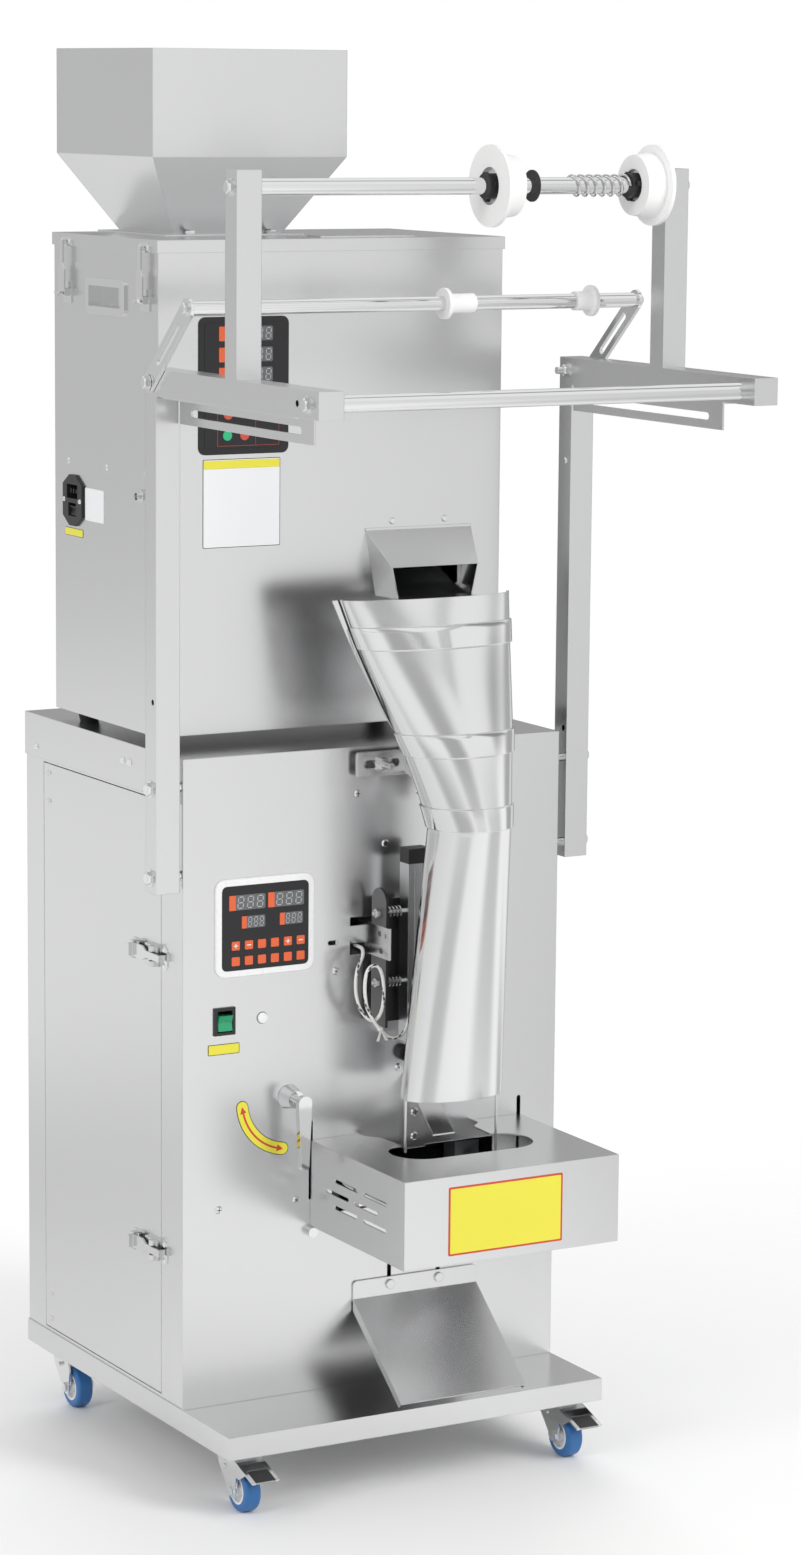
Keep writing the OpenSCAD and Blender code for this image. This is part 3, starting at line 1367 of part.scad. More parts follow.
// Small fittings: bolts, screws, keepers, latch bases, handles
panel_screws = [
    [-22.5, cab_h - 53], [56, cab_h - 55], [13, cab_h - 112], [hole_x - 18, hole_z - 16.5],
    [32, tube_low + 16], [switch_x - 6.5, 225], [crank_x + 9.5, 225]
];
module fittings() {
    color(polished) {
        for (side = [-1, 1]) {
            for (z = [post_low + 17, cab_h - 31]) {
                hex_head(side * post_out, side, arm_back - tube_d / 2, z);
                spacer_x = z > cab_h - cover_skirt ? half_w : wall_x;
                x_rod(side > 0 ? spacer_x : -post_in, side > 0 ? post_in : -spacer_x, arm_back - tube_d / 2, z, 5.5);
            }
            hex_head(side * post_out, side, -upright_y, shaft_z);
            hex_head(side * post_out, side, -front_bar_y, arm_mid);
            hex_head(side * (link_x + link_t + pass_c), side, pivot_y, pivot_z);
            x_rod(side > 0 ? post_in - 14 : -link_x - link_t - pass_c, side > 0 ? link_x + link_t + pass_c : -post_in + 14,
                  pivot_y, pivot_z, bolt_r);
            hex_head(side * post_in, -side, pivot_y, pivot_z, 12, 5);
        }
        for (p = panel_screws)
            pan_screw(0, p[0], p[1]);
        for (z = [tube_low - 38, tube_low - 66])
            pan_screw(-2, film_x, z, 5);
        for (x = [hopper_x - 51, hopper_x + 51], y = [-1, 1])
            translate([x, hopper_y + y * (throat_d / 2 + flange_w / 2), lid_top + flange_t])
                cylinder(h = 4, r = 6, $fn = 6);
        for (x = [spout_x - 34, spout_x + 34])
            pan_screw(housing_y0, x, spout_high + 9, 4);
        for (y = [upper_y + 33, upper_y + 132, upper_y + 232])
            side_screw(housing_left, -1, y, inlet_z + 44);
        side_screw(-half_w, -1, cab_d - 32, cab_h - 38, 4);
        for (y = [133, 151])
            side_screw(-half_w, -1, y, cab_h - 22, 5);
        socket_y = upper_y + 39;
        socket_z = inlet_z + 20;
        difference() {
            union() {
                translate([housing_left, socket_y, socket_z]) rotate([0, -90, 0]) cylinder(h = 4, r = 8, $fn = 6);
                x_rod(housing_left - 9, housing_left, socket_y, socket_z, 5.8);
            }
            x_rod(housing_left - 10, housing_left - 2, socket_y, socket_z, 4);
        }
        for (y = [inlet_y - inlet_w / 2 + 4, inlet_y + inlet_w / 2 - 4])
            side_screw(housing_left - 3, -1, y, inlet_z, 3);
        for (i = [0:3])
            at_lid_latch(i) {
                latch_base();
                latch_keeper(lid_latch_l, lid_out, 11);
            }
        for (z = latch_z)
            translate([-wall_x, latch_pivot_y, z]) rotate([90, 0, 0]) latch_keeper(door_latch_l, 0, 15);
        side_screw(post_in, -1, 6.5, arm_z - 88, 4);
    }
    color(dark) {
        for (x = [hood_x, hood_x + hood_w])
            y_rod(-9, 0, x, hood_z - 6.5, 6);
        difference() {
            y_rod(-8, 0, 38.5, tube_low + 33, 9);
            y_rod(-9, -3, 38.5, tube_low + 33, 6);
        }
    }
}

module carry_handle(side) {
    x = side < 0 ? housing_left : housing_right;
    translate([x, handle_y, handle_z]) rotate([0, 0, side < 0 ? 0 : 180])
        difference() {
            union() {
                side_plate(-2.5, 0) round_rect(handle_w, handle_h, 7);
                block([0, -handle_w / 2 + 7, -handle_h / 2 + 7], [cup_d, handle_w / 2 - 7, handle_h / 2 - 7]);
            }
            block([-3, -handle_w / 2 + 8.5, -handle_h / 2 + 8.5], [cup_d - 1.5, handle_w / 2 - 8.5, handle_h / 2 - 8.5]);
        }
}

module carry_handles() {
    color(polished)
        for (side = [-1, 1])
            carry_handle(side);
}

at_cabinet() base_tray();
at_cabinet() cabinet_shell();
at_cabinet() front_panel();
at_cabinet() cabinet_cover();
at_cabinet() stacking_feet();
at_cabinet() roll_frame();
at_cabinet() fittings();
at_cabinet() film_bars();
at_cabinet() shaft_spring();
at_cabinet() shaft_collars();
at_cabinet() upper_housing();
at_cabinet() upper_lid();
at_cabinet() hopper();
at_cabinet() outlet_spout();
at_cabinet() product_tube();
at_cabinet() film_former();
at_cabinet() former_bracket();
at_cabinet() bag_spreaders();
at_cabinet() control_panel();
at_cabinet() weighing_panel();
at_cabinet() switch_bezel();
at_cabinet() power_inlet();
at_cabinet() weigh_bucket();
at_cabinet() feeder_pan();
at_cabinet() drive_unit();
at_cabinet() sealer_guide();
at_cabinet() power_rocker();
at_cabinet() inlet_rocker();
at_cabinet() crank_lever();
at_cabinet() safety_cover();
at_cabinet() discharge_chute();
at_cabinet() jaw_front();
at_cabinet() jaw_rear();
at_cabinet() sealer_arm();
at_cabinet() sealer_bar();
at_cabinet() heater_lead();
at_cabinet() side_door();
for (i = [0, 1])
    at_cabinet()
        translate([-wall_x, latch_pivot_y, latch_z[i]]) rotate([90, 0, 0]) latch_lever(door_latch_l);
for (i = [0:3])
    at_cabinet() at_lid_latch(i) latch_lever(lid_latch_l);
for (side = [-1, 1]) {
    name = side < 0 ? "left" : "right";
    at_caster(side, caster_front_y) fork();
    at_caster(side, caster_rear_y) fork();
    at_caster(side, caster_front_y) caster_wheel();
    at_caster(side, caster_rear_y) caster_wheel();
    at_caster(side, caster_front_y) brake_pedal();
}
at_cabinet() dancer_frame();
at_cabinet()  // dancer_collar_left
    translate([dancer_left_x, dancer_y, dancer_z]) film_collar(dancer_left_l);
at_cabinet()  // dancer_collar_right
    translate([dancer_right_x, dancer_y, dancer_z]) mirror([1, 0, 0]) film_collar(dancer_right_l);
at_cabinet()  // roll_cone_left
    translate([cone_left_x, -upright_y, shaft_z]) roll_cone();
at_cabinet()  // roll_cone_right
    translate([cone_right_x, -upright_y, shaft_z]) mirror([1, 0, 0]) roll_cone();
at_cabinet() bucket_flap();
at_cabinet() carry_handles();
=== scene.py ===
import json
from math import cos, pi, radians, sin

import bmesh
import bpy
from mathutils import Matrix, Vector


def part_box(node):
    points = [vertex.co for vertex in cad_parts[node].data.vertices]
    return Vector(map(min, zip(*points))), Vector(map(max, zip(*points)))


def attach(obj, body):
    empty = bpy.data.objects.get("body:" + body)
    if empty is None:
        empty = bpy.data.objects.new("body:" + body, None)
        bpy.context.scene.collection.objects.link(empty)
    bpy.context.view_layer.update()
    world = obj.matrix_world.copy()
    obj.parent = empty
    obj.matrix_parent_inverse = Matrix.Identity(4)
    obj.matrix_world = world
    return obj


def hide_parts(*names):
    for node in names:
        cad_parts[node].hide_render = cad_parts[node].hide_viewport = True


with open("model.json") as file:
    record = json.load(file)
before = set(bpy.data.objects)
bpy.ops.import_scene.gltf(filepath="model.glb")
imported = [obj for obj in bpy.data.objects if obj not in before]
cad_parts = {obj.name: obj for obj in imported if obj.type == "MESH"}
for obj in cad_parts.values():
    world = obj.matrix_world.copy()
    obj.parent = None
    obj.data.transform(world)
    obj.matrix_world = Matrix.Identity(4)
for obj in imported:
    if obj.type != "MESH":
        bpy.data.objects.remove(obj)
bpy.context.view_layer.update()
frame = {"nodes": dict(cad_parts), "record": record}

mm = 0.001
bodyOf = {}
for bodyName, nodeNames in frame["record"]["behaviour"]["bodies"].items():
    for nodeName in nodeNames:
        bodyOf[nodeName] = bodyName

# Millimetres from the cabinet's front face and the base's top, as the drawings give them
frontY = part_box("front_panel")[0][1]
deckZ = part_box("front_panel")[0][2]


def spot(x, y, z):
    return Vector((x * mm, frontY + y * mm, deckZ + z * mm))


print("camera")
camera = {
    "place": (-2.3132, -4.1663, 1.5601),
    "azimuth": -29.498,
    "elevation": 9.182,
    "roll": 0.511,
    "focalPixels": 4306.2,
    "imageHeight": 1555,
    "sensor": 36.0,
}


def makeCamera(c):
    a = radians(c["azimuth"])
    e = radians(c["elevation"])
    back = Vector((sin(a) * cos(e), -cos(a) * cos(e), sin(e)))
    right = Vector((0, 0, 1)).cross(back).normalized()
    up = back.cross(right)
    r = radians(c["roll"])
    across = right * cos(r) + up * sin(r)
    upright = up * cos(r) - right * sin(r)
    turn = Matrix((across, upright, back)).transposed()
    data = bpy.data.cameras.new("photoCamera")
    data.sensor_fit = "VERTICAL"
    data.sensor_height = c["sensor"]
    data.lens = c["focalPixels"] / c["imageHeight"] * c["sensor"]
    data.clip_end = 60
    made = bpy.data.objects.new("photoCamera", data)
    bpy.context.scene.collection.objects.link(made)
    made.matrix_world = Matrix.Translation(c["place"]) @ turn.to_4x4()
    bpy.context.scene.camera = made


makeCamera(camera)


# Node trees: arithmetic on a wrapped socket adds Math nodes
class Amount:
    def __init__(self, tree, socket):
        self.tree = tree
        self.socket = socket

    def calc(self, operation, *others):
        inputs = {i: v for i, v in enumerate((self,) + others)}
        return self.tree.add("ShaderNodeMath", {"operation": operation}, inputs)

    def __add__(self, other):
        return self.calc("ADD", other)

    def __radd__(self, other):
        return self.calc("ADD", other)

    def __sub__(self, other):
        return self.calc("SUBTRACT", other)

    def __rsub__(self, other):
        return self.tree.add("ShaderNodeMath", {"operation": "SUBTRACT"}, {0: other, 1: self})

    def __mul__(self, other):
        return self.calc("MULTIPLY", other)

    def __rmul__(self, other):
        return self.calc("MULTIPLY", other)

    def __truediv__(self, other):
        return self.calc("DIVIDE", other)

    def above(self, edge, soft):
        return self.tree.add("ShaderNodeMapRange", {"interpolation_type": "SMOOTHSTEP"},
                             {"Value": self, "From Min": edge - soft, "From Max": edge + soft})

    def between(self, start, stop):
        return self.above((start + stop) / 2, (stop - start) / 2)


class Finish:
    def __init__(self, name, kind="material"):
        if kind == "world":
            self.data = bpy.data.worlds.new(name)
        else:
            self.data = bpy.data.materials.new(name)
        self.data.use_nodes = True
        self.nodes = self.data.node_tree.nodes
        self.links = self.data.node_tree.links
        if kind == "material":
            self.shader = self.nodes["Principled BSDF"]

    def put(self, socket, value):
        if isinstance(value, Amount):
            self.links.new(value.socket, socket)
        elif isinstance(value, (tuple, list)) and len(value) == 3 and socket.type == "RGBA":
            socket.default_value = (*value, 1)
        else:
            socket.default_value = value

    def add(self, kind, settings=None, inputs=None, output=0):
        made = self.nodes.new(kind)
        for key, value in (settings or {}).items():
            if key == "stops":
                ramp = made.color_ramp
                while len(ramp.elements) < len(value):
                    ramp.elements.new(1.0)
                for element, (at, colour) in zip(ramp.elements, value):
                    element.position = at
                    element.color = (*colour, 1)
            else:
                setattr(made, key, value)
        for key, value in (inputs or {}).items():
            self.put(made.inputs[key], value)
        return Amount(self, made.outputs[output])

    def set(self, **values):
        for key, value in values.items():
            self.put(self.shader.inputs[key.replace("_", " ")], value)

    def place(self):
        return self.add("ShaderNodeTexCoord", output="Object")

    def axis(self, name):
        return self.add("ShaderNodeSeparateXYZ", None, {0: self.place()}, output=name)

    def noise(self, scale, detail=3, stretch=(1, 1, 1), roughness=0.5):
        stretched = self.add("ShaderNodeMapping", None, {"Vector": self.place(), "Scale": stretch})
        inputs = {"Vector": stretched, "Scale": scale, "Detail": detail, "Roughness": roughness}
        return self.add("ShaderNodeTexNoise", None, inputs)

    def mixed(self, mask, first, second):
        return self.add("ShaderNodeMix", {"data_type": "RGBA"}, {0: mask, 6: first, 7: second}, output=2)

    # Rounds the look of sharp folds by a millimetre or so
    def bump(self, height, strength, distance, fold=0.0012):
        inputs = {"Height": height, "Strength": strength, "Distance": distance}
        if fold:
            inputs["Normal"] = self.add("ShaderNodeBevel", {"samples": 4}, {"Radius": fold})
        return self.add("ShaderNodeBump", None, inputs)

    # 1 inside a box given by two corners, 0 outside
    def inside(self, low, high, soft=0.0002):
        mask = None
        for i, name in enumerate("XYZ"):
            along = self.axis(name)
            part = along.above(low[i], soft) * (1 - along.above(high[i], soft))
            mask = part if mask is None else mask * part
        return mask


print("studio")
studio = {
    "floorSize": 7,
    "background": 1.0,
    "fill": 0.62,
    "middleY": 0.1,
    "shadow": (0.35, 1.9),
    "level": 0.92,
    "slant": 0.14,
    "slantTo": (0.8, -0.6),
    "ceiling": 0.95,
    "zenith": 0.30,
    # Heights of the view direction where one zone turns into the next: middle and half width
    "ceilingRise": (0.40, 0.16),
    "overheadRise": (0.9, 0.08),
    "zenithRise": (0.93, 0.05),
    # Dark stretches around the object: azimuth, half width, depth. A negative depth brightens
    "floorDark": [(61, 30, 0.50), (4, 12, 0.65), (-119, 15, 0.50), (-44, 16, 0.38), (116, 24, 0.19)],
    "farDark": [(-121, 20, 0.12), (61, 34, 0.62), (-44, 16, 0.38), (116, 24, -0.15)],
    "farFrom": (1.2, 2.6),
    "horizonDark": [(61, 34, 0.64), (-121, 20, 0.42), (4, 12, 0.55), (-44, 16, 0.34), (116, 24, 0.23)],
    "overheadDark": [(-80, 13, 0.50), (-14, 12, 0.66), (150, 16, 0.40)],
    # Lights only, which aren't seen in the steel: place, aim, size and power
    "lights": {
        "keyBox": ((1.9, -3.4, 3.0), (0, 0, 0.8), (1.4, 2.6), 95),
        "sideBox": ((-3.6, -1.2, 2.4), (0, 0.1, 0.8), (1.2, 2.6), 55),
        "backBox": ((1.5, 3.6, 2.6), (0, 0.2, 0.8), (2.4, 2.0), 70),
    },
}


# Light of the room in a level direction, before its dark stretches
def slanted(s, x, y, away):
    toX, toY = s["slantTo"]
    return s["level"] + s["slant"] * (x * toX + y * toY) / away


# What is left of the light in a direction, beside the dark stretches
def leftOver(x, y, away, stretches):
    light = None
    for azimuth, half, depth in stretches:
        a = radians(azimuth)
        close = (x * cos(a) + y * sin(a)) / away
        inner, outer = cos(radians(half * 0.45)), cos(radians(half * 1.4))
        part = 1 - depth * close.between(outer, inner)
        light = part if light is None else light * part
    return light


def makeWorld(s):
    w = Finish("studioWorld", "world")
    shade = w.nodes["Background"]
    ray = w.nodes.new("ShaderNodeLightPath")
    seen = Amount(w, ray.outputs["Is Camera Ray"])
    glossy = Amount(w, ray.outputs["Is Glossy Ray"])
    through = Amount(w, ray.outputs["Is Transmission Ray"])
    toward = w.add("ShaderNodeTexCoord", output="Generated")
    x, y, rise = [w.add("ShaderNodeSeparateXYZ", None, {0: toward}, output=name) for name in "XYZ"]
    away = (x * x + y * y).calc("SQRT") + 0.001
    low = slanted(s, x, y, away) * leftOver(x, y, away, s["horizonDark"])
    taken = (1 - leftOver(x, y, away, s["overheadDark"])) * (1 - rise.above(*s["overheadRise"]))
    high = s["ceiling"] * (1 - taken) * (1 - s["zenith"] * rise.above(*s["zenithRise"]))
    up = rise.above(*s["ceilingRise"])
    room = low * (1 - up) + high * up
    white = w.add("ShaderNodeMath", {"operation": "MAXIMUM"}, {0: seen, 1: through})
    level = white * s["background"] + (1 - white) * (glossy * room + (1 - glossy) * s["fill"])
    w.put(shade.inputs["Strength"], level)
    w.put(shade.inputs["Color"], (1, 1, 1))
    bpy.context.scene.world = w.data


def makeFloor(s):
    bm = bmesh.new()
    bmesh.ops.create_circle(bm, cap_ends=True, segments=96, radius=s["floorSize"])
    mesh = bpy.data.meshes.new("studioFloor")
    bm.to_mesh(mesh)
    bm.free()
    floor = bpy.data.objects.new("studioFloor", mesh)
    bpy.context.scene.collection.objects.link(floor)
    f = Finish("palePaper")
    f.set(Base_Color=(0.90, 0.90, 0.90), Roughness=0.9)
    x = f.axis("X")
    y = f.axis("Y") - s["middleY"]
    away = (x * x + y * y).calc("SQRT") + 0.001
    ray = f.nodes.new("ShaderNodeLightPath")
    seen = Amount(f, ray.outputs["Is Camera Ray"])
    near = 1 - away.between(*s["shadow"])
    glow = f.nodes.new("ShaderNodeEmission")
    f.put(glow.inputs["Color"], (1, 1, 1))
    far = away.between(*s["farFrom"])
    left = leftOver(x, y, away, s["floorDark"]) * (1 - far) + leftOver(x, y, away, s["farDark"]) * far
    f.put(glow.inputs["Strength"], seen + (1 - seen) * (slanted(s, x, y, away) * left))
    blend = f.nodes.new("ShaderNodeMixShader")
    f.put(blend.inputs[0], near)
    f.links.new(glow.outputs[0], blend.inputs[1])
    f.links.new(f.shader.outputs[0], blend.inputs[2])
    f.links.new(blend.outputs[0], f.nodes["Material Output"].inputs["Surface"])
    mesh.materials.append(f.data)


def softbox(name, place, aim, size, power):
    data = bpy.data.lights.new(name, "AREA")
    data.shape = "RECTANGLE"
    data.size, data.size_y = size
    data.energy = power
    lamp = bpy.data.objects.new(name, data)
    bpy.context.scene.collection.objects.link(lamp)
    lamp.location = place
    lamp.rotation_euler = (Vector(place) - Vector(aim)).to_track_quat("Z", "Y").to_euler()
    lamp.visible_camera = False
    lamp.visible_glossy = False


makeWorld(studio)
makeFloor(studio)
for lightName, details in studio["lights"].items():
    softbox(lightName, *details)
bpy.context.scene.view_settings.view_transform = "Standard"


print("finishes")


def sheetSteel(name, grain, colour=(0.75, 0.752, 0.756), rough=0.25, wear=0.008):
    f = Finish(name)
    streaks = f.noise(24, 4, grain, 0.6)
    cloud = f.noise(2.2, 3)
    darker, lighter = [tuple(min(1, c * factor) for c in colour) for factor in (1 - wear, 1 + wear)]
    tone = f.add("ShaderNodeValToRGB", {"stops": [(0.3, darker), (0.7, lighter)]}, {0: streaks})
    f.set(Base_Color=tone, Metallic=1.0, Roughness=rough + 0.02 * (streaks - 0.5) + 0.03 * (cloud - 0.5))
    f.set(Normal=f.bump(streaks, 0.002, 0.0001))
    return f.data


def plainMetal(name, colour, rough, grain=60):
    f = Finish(name)
    fine = f.noise(grain, 4)
    f.set(Base_Color=colour, Metallic=1.0, Roughness=rough + 0.06 * (fine - 0.5))
    f.set(Normal=f.bump(fine, 0.02, 0.0002, 0.0005))
    return f.data


def plastic(name, colour, rough, coat=0.0, grain=220, bump=0.08):
    f = Finish(name)
    fine = f.noise(grain, 3)
    soft = f.noise(6, 2)
    shade = f.mixed(0.35 * soft, colour, tuple(c * 0.86 for c in colour))
    f.set(Base_Color=shade, Roughness=rough + 0.08 * (fine - 0.5), Coat_Weight=coat)
    f.set(Normal=f.bump(fine, bump, 0.0002, 0.0004))
    return f.data


# Metal with black pieces, each inside one of the boxes
def metalWithBlack(name, colour, rough, boxes, black=(0.022, 0.022, 0.024), blackRough=0.45):
    f = Finish(name)
    fine = f.noise(60, 4)
    mask = None
    for low, high in boxes:
        here = f.inside(low, high)
        mask = here if mask is None else mask.calc("MAXIMUM", here)
    f.set(Base_Color=f.mixed(mask, colour, black), Metallic=1 - mask)
    f.set(Roughness=(rough + 0.06 * (fine - 0.5)) * (1 - mask) + blackRough * mask)
    f.set(Normal=f.bump(fine, 0.02, 0.0002, 0.0005))
    return f.data


# Blue tyre on a white hub: the radius runs from the wheel's own axle
def wheelFinish(name, axle, tyre=(0.03, 0.15, 0.40), hub=(0.80, 0.81, 0.82), edge=0.0165):
    f = Finish(name)
    y = f.axis("Y") - axle[1]
    z = f.axis("Z") - axle[2]
    rim = (y * y + z * z).calc("SQRT").above(edge, 0.0003)
    fine = f.noise(180, 3)
    f.set(Base_Color=f.mixed(rim, hub, tyre), Roughness=0.36 + 0.1 * (fine - 0.5))
    f.set(Normal=f.bump(fine, 0.06, 0.0002, 0.0005))
    return f.data


# Braided sleeve: crossed threads with dark flecks, along the lead's own unwrapped surface
def braidedFinish(name):
    f = Finish(name)
    uv = f.add("ShaderNodeTexCoord", output="UV")
    u = f.add("ShaderNodeSeparateXYZ", None, {0: uv}, output="X")
    v = f.add("ShaderNodeSeparateXYZ", None, {0: uv}, output="Y")
    left = (2 * pi * (4 * u + v)).calc("SINE")
    right = (2 * pi * (4 * u - v)).calc("SINE")
    weave = (left * right) * 0.5 + 0.5
    fleck = ((2 * pi * (u + v * 0.25)).calc("SINE")).above(0.80, 0.05) * weave.above(0.30, 0.15)
    f.set(Base_Color=f.mixed(fleck, (0.82, 0.82, 0.80), (0.05, 0.05, 0.05)))
    f.set(Roughness=0.62 + 0.1 * (1 - weave))
    f.set(Normal=f.bump(weave, 0.5, 0.0004, 0))
    return f.data


brightTone = (0.80, 0.802, 0.806)
steelTone = (0.74, 0.742, 0.745)
finish = {
    "panelSteel": sheetSteel("panelSteel", (40, 40, 1)),
    "sideSteel": sheetSteel("sideSteel", (1, 1, 40)),
    "tubeSteel": sheetSteel("tubeSteel", (30, 30, 2), steelTone, 0.26),
    "formerSteel": sheetSteel("formerSteel", (20, 20, 1), brightTone, 0.16, 0.006),
    "bandSteel": sheetSteel("bandSteel", (20, 20, 1), brightTone, 0.08, 0.006),
    "brightSteel": plainMetal("brightSteel", brightTone, 0.08),
    "boltSteel": plainMetal("boltSteel", steelTone, 0.14),
    "nylon": plastic("nylon", (0.90, 0.90, 0.895), 0.42),
    "whiteGloss": plastic("whiteGloss", (0.88, 0.88, 0.88), 0.28, 0.3),
    "blackPlastic": plastic("blackPlastic", (0.018, 0.018, 0.02), 0.42),
    # Painted shade: dark colour for the cross recesses of the screw heads
    "recessPaintedShade": plastic("recessPaintedShade", (0.05, 0.05, 0.052), 0.5),
    "blackRubber": plastic("blackRubber", (0.02, 0.02, 0.021), 0.62),
    "panelBlack": plastic("panelBlack", (0.014, 0.014, 0.016), 0.45, 0.0, 300, 0.03),
    "displayGrey": plastic("displayGrey", (0.13, 0.135, 0.14), 0.3, 0.1, 300, 0.02),
    "segment": plastic("segment", (0.46, 0.47, 0.48), 0.4, 0.0, 300, 0.02),
    "greenKey": plastic("greenKey", (0.03, 0.50, 0.22), 0.35, 0.1, 300, 0.02),
    "orange": plastic("orange", (0.78, 0.13, 0.04), 0.36, 0.1, 300, 0.02),
    "greenLamp": plastic("greenLamp", (0.0, 0.33, 0.13), 0.2, 0.6, 200, 0.02),
    "redKey": plastic("redKey", (0.62, 0.09, 0.05), 0.35, 0.1, 300, 0.02),
    "yellowLabel": plastic("yellowLabel", (0.83, 0.76, 0.06), 0.38, 0.1, 300, 0.02),
    "redPrint": plastic("redPrint", (0.62, 0.06, 0.03), 0.38, 0.1, 300, 0.02),
    # Black ink of the labels' print, also used as painted shade in the former's slit
    "blackPrintAndSlitShade": plastic("blackPrintAndSlitShade", (0.02, 0.02, 0.02), 0.4, 0.0, 300, 0.02),
    "whiteLabel": plastic("whiteLabel", (0.86, 0.87, 0.88), 0.4, 0.1, 300, 0.02),
    "castIron": plastic("castIron", (0.16, 0.17, 0.18), 0.55),
    "leadSleeve": braidedFinish("leadSleeve"),
    "tieNylon": plastic("tieNylon", (0.84, 0.84, 0.82), 0.45, 0.0, 300, 0.05),
    "armSteel": metalWithBlack("armSteel", steelTone, 0.22, [
        (spot(-9.6, -60, 420), spot(-6.4, -5, 580)),
        (spot(-9.6, -14.2, 420), spot(33, -10.9, 580)),
    ]),
    "barAlloy": metalWithBlack("barAlloy", (0.72, 0.725, 0.73), 0.30, [
        (spot(10, -60, 605.1), spot(60, 0, 640)),
    ]),
    "smallParts": metalWithBlack("smallParts", brightTone, 0.12, [
        (spot(-92, -10, 270), spot(-68, 0.5, 305)),
        (spot(181, -10, 270), spot(205, 0.5, 305)),
        (spot(28, -9, 370), spot(49, 0.5, 392)),
    ]),
}

nodeFinish = {
    "panelSteel": ["front_panel", "upper_housing", "hopper", "safety_cover", "discharge_chute",
                   "upper_lid", "cabinet_cover", "outlet_spout", "former_bracket", "bag_spreaders"],
    "sideSteel": ["cabinet_shell", "side_door", "base_tray"],
    "tubeSteel": ["roll_frame"],
    "formerSteel": ["film_former", "product_tube"],
    "brightSteel": ["film_bars", "dancer_frame", "shaft_spring", "crank_lever", "carry_handles",
                    "jaw_front", "jaw_rear"],
    "boltSteel": ["door_latch_upper", "door_latch_lower", "weigh_bucket", "feeder_pan", "bucket_flap",
                  "sealer_guide"],
    "smallParts": ["fittings"],
    "armSteel": ["sealer_arm"],
    "barAlloy": ["sealer_bar"],
    "nylon": ["roll_cone_left", "roll_cone_right", "dancer_collar_left", "dancer_collar_right"],
    "blackPlastic": ["shaft_collars", "power_inlet", "inlet_rocker", "switch_bezel"],
    "blackRubber": ["stacking_feet"],
    "panelBlack": ["control_panel", "weighing_panel"],
    "greenLamp": ["power_rocker"],
    "castIron": ["drive_unit"],
    "leadSleeve": ["heater_lead"],
}
# Black brake block below a pedal
brakeBlock = {"half": 0.0125, "below": 0.0072}


def dress(node, material):
    node.data.materials.clear()
    node.data.materials.append(material)


for finishName, nodeNames in nodeFinish.items():
    for nodeName in nodeNames:
        dress(frame["nodes"][nodeName], finish[finishName])
for nodeName, node in frame["nodes"].items():
    low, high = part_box(nodeName)
    middle = [(a + b) / 2 for a, b in zip(low, high)]
    if nodeName.startswith(("fork", "lid_latch")):
        dress(node, finish["brightSteel"])
    elif nodeName.startswith("wheel"):
        dress(node, wheelFinish(nodeName + "Rubber", middle))
    elif nodeName.startswith("pedal"):
        half, top = brakeBlock["half"], high[2] - brakeBlock["below"]
        corners = ((middle[0] - half, low[1], low[2]), (middle[0] + half, high[1], top))
        dress(node, metalWithBlack(nodeName + "Metal", steelTone, 0.16, [corners]))


print("shapes")


def finished(name, bm, materials, body, replaced=(), smooth=40):
    bmesh.ops.recalc_face_normals(bm, faces=bm.faces)
    mesh = bpy.data.meshes.new(name)
    bm.to_mesh(mesh)
    bm.free()
    for m in materials:
        mesh.materials.append(finish[m])
    for face in mesh.polygons:
        face.use_smooth = True
    mesh.set_sharp_from_angle(angle=radians(smooth))
    piece = bpy.data.objects.new(name, mesh)
    bpy.context.scene.collection.objects.link(piece)
    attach(piece, body)
    if replaced:
        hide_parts(*replaced)
    return piece


def block(bm, low, high, edge=0.0):
    low, high = Vector(low), Vector(high)
    made = bmesh.ops.create_cube(bm, size=1)["verts"]
    for v in made:
        for i in range(3):
            v.co[i] = low[i] if v.co[i] < 0 else high[i]
    if edge:
        edges = list({e for v in made for f in v.link_faces for e in f.edges})
        bmesh.ops.bevel(bm, geom=edges, offset=edge, segments=2, affect="EDGES")


def roundOutline(w, h, r, steps=6):
    points = []
    for cx, cy, start in ((w / 2 - r, h / 2 - r, 0), (-w / 2 + r, h / 2 - r, 90),
                          (-w / 2 + r, -h / 2 + r, 180), (w / 2 - r, -h / 2 + r, 270)):
        for i in range(steps + 1):
            a = radians(start + 90 * i / steps)
            points.append((cx + r * cos(a), cy + r * sin(a)))
    return points


# A flat plate from an outline: u and v are the outline's directions, n points out of its face
def plate(bm, outline, origin, u, v, n, thick, edge=0.0, tint=0):
    u, v, n, origin = Vector(u), Vector(v), Vector(n), Vector(origin)

    def ring(inset, lift):
        centre = Vector((sum(p[0] for p in outline), sum(p[1] for p in outline))) / len(outline)
        verts = []
        for p in outline:
            q = Vector(p)
            away = q - centre
            if inset and away.length > 0:
                q = q - away.normalized() * inset
            verts.append(bm.verts.new(origin + u * q[0] + v * q[1] + n * lift))
        return verts

    rings = [ring(0, 0), ring(0, thick - edge)]
    if edge:
        rings.append(ring(edge, thick))
    count = len(outline)
    faces = [bm.faces.new(rings[0][::-1]), bm.faces.new(rings[-1])]
    for a, b in zip(rings, rings[1:]):
        for i in range(count):
            j = (i + 1) % count
            faces.append(bm.faces.new((a[i], a[j], b[j], b[i])))
    for f in faces:
        f.material_index = tint


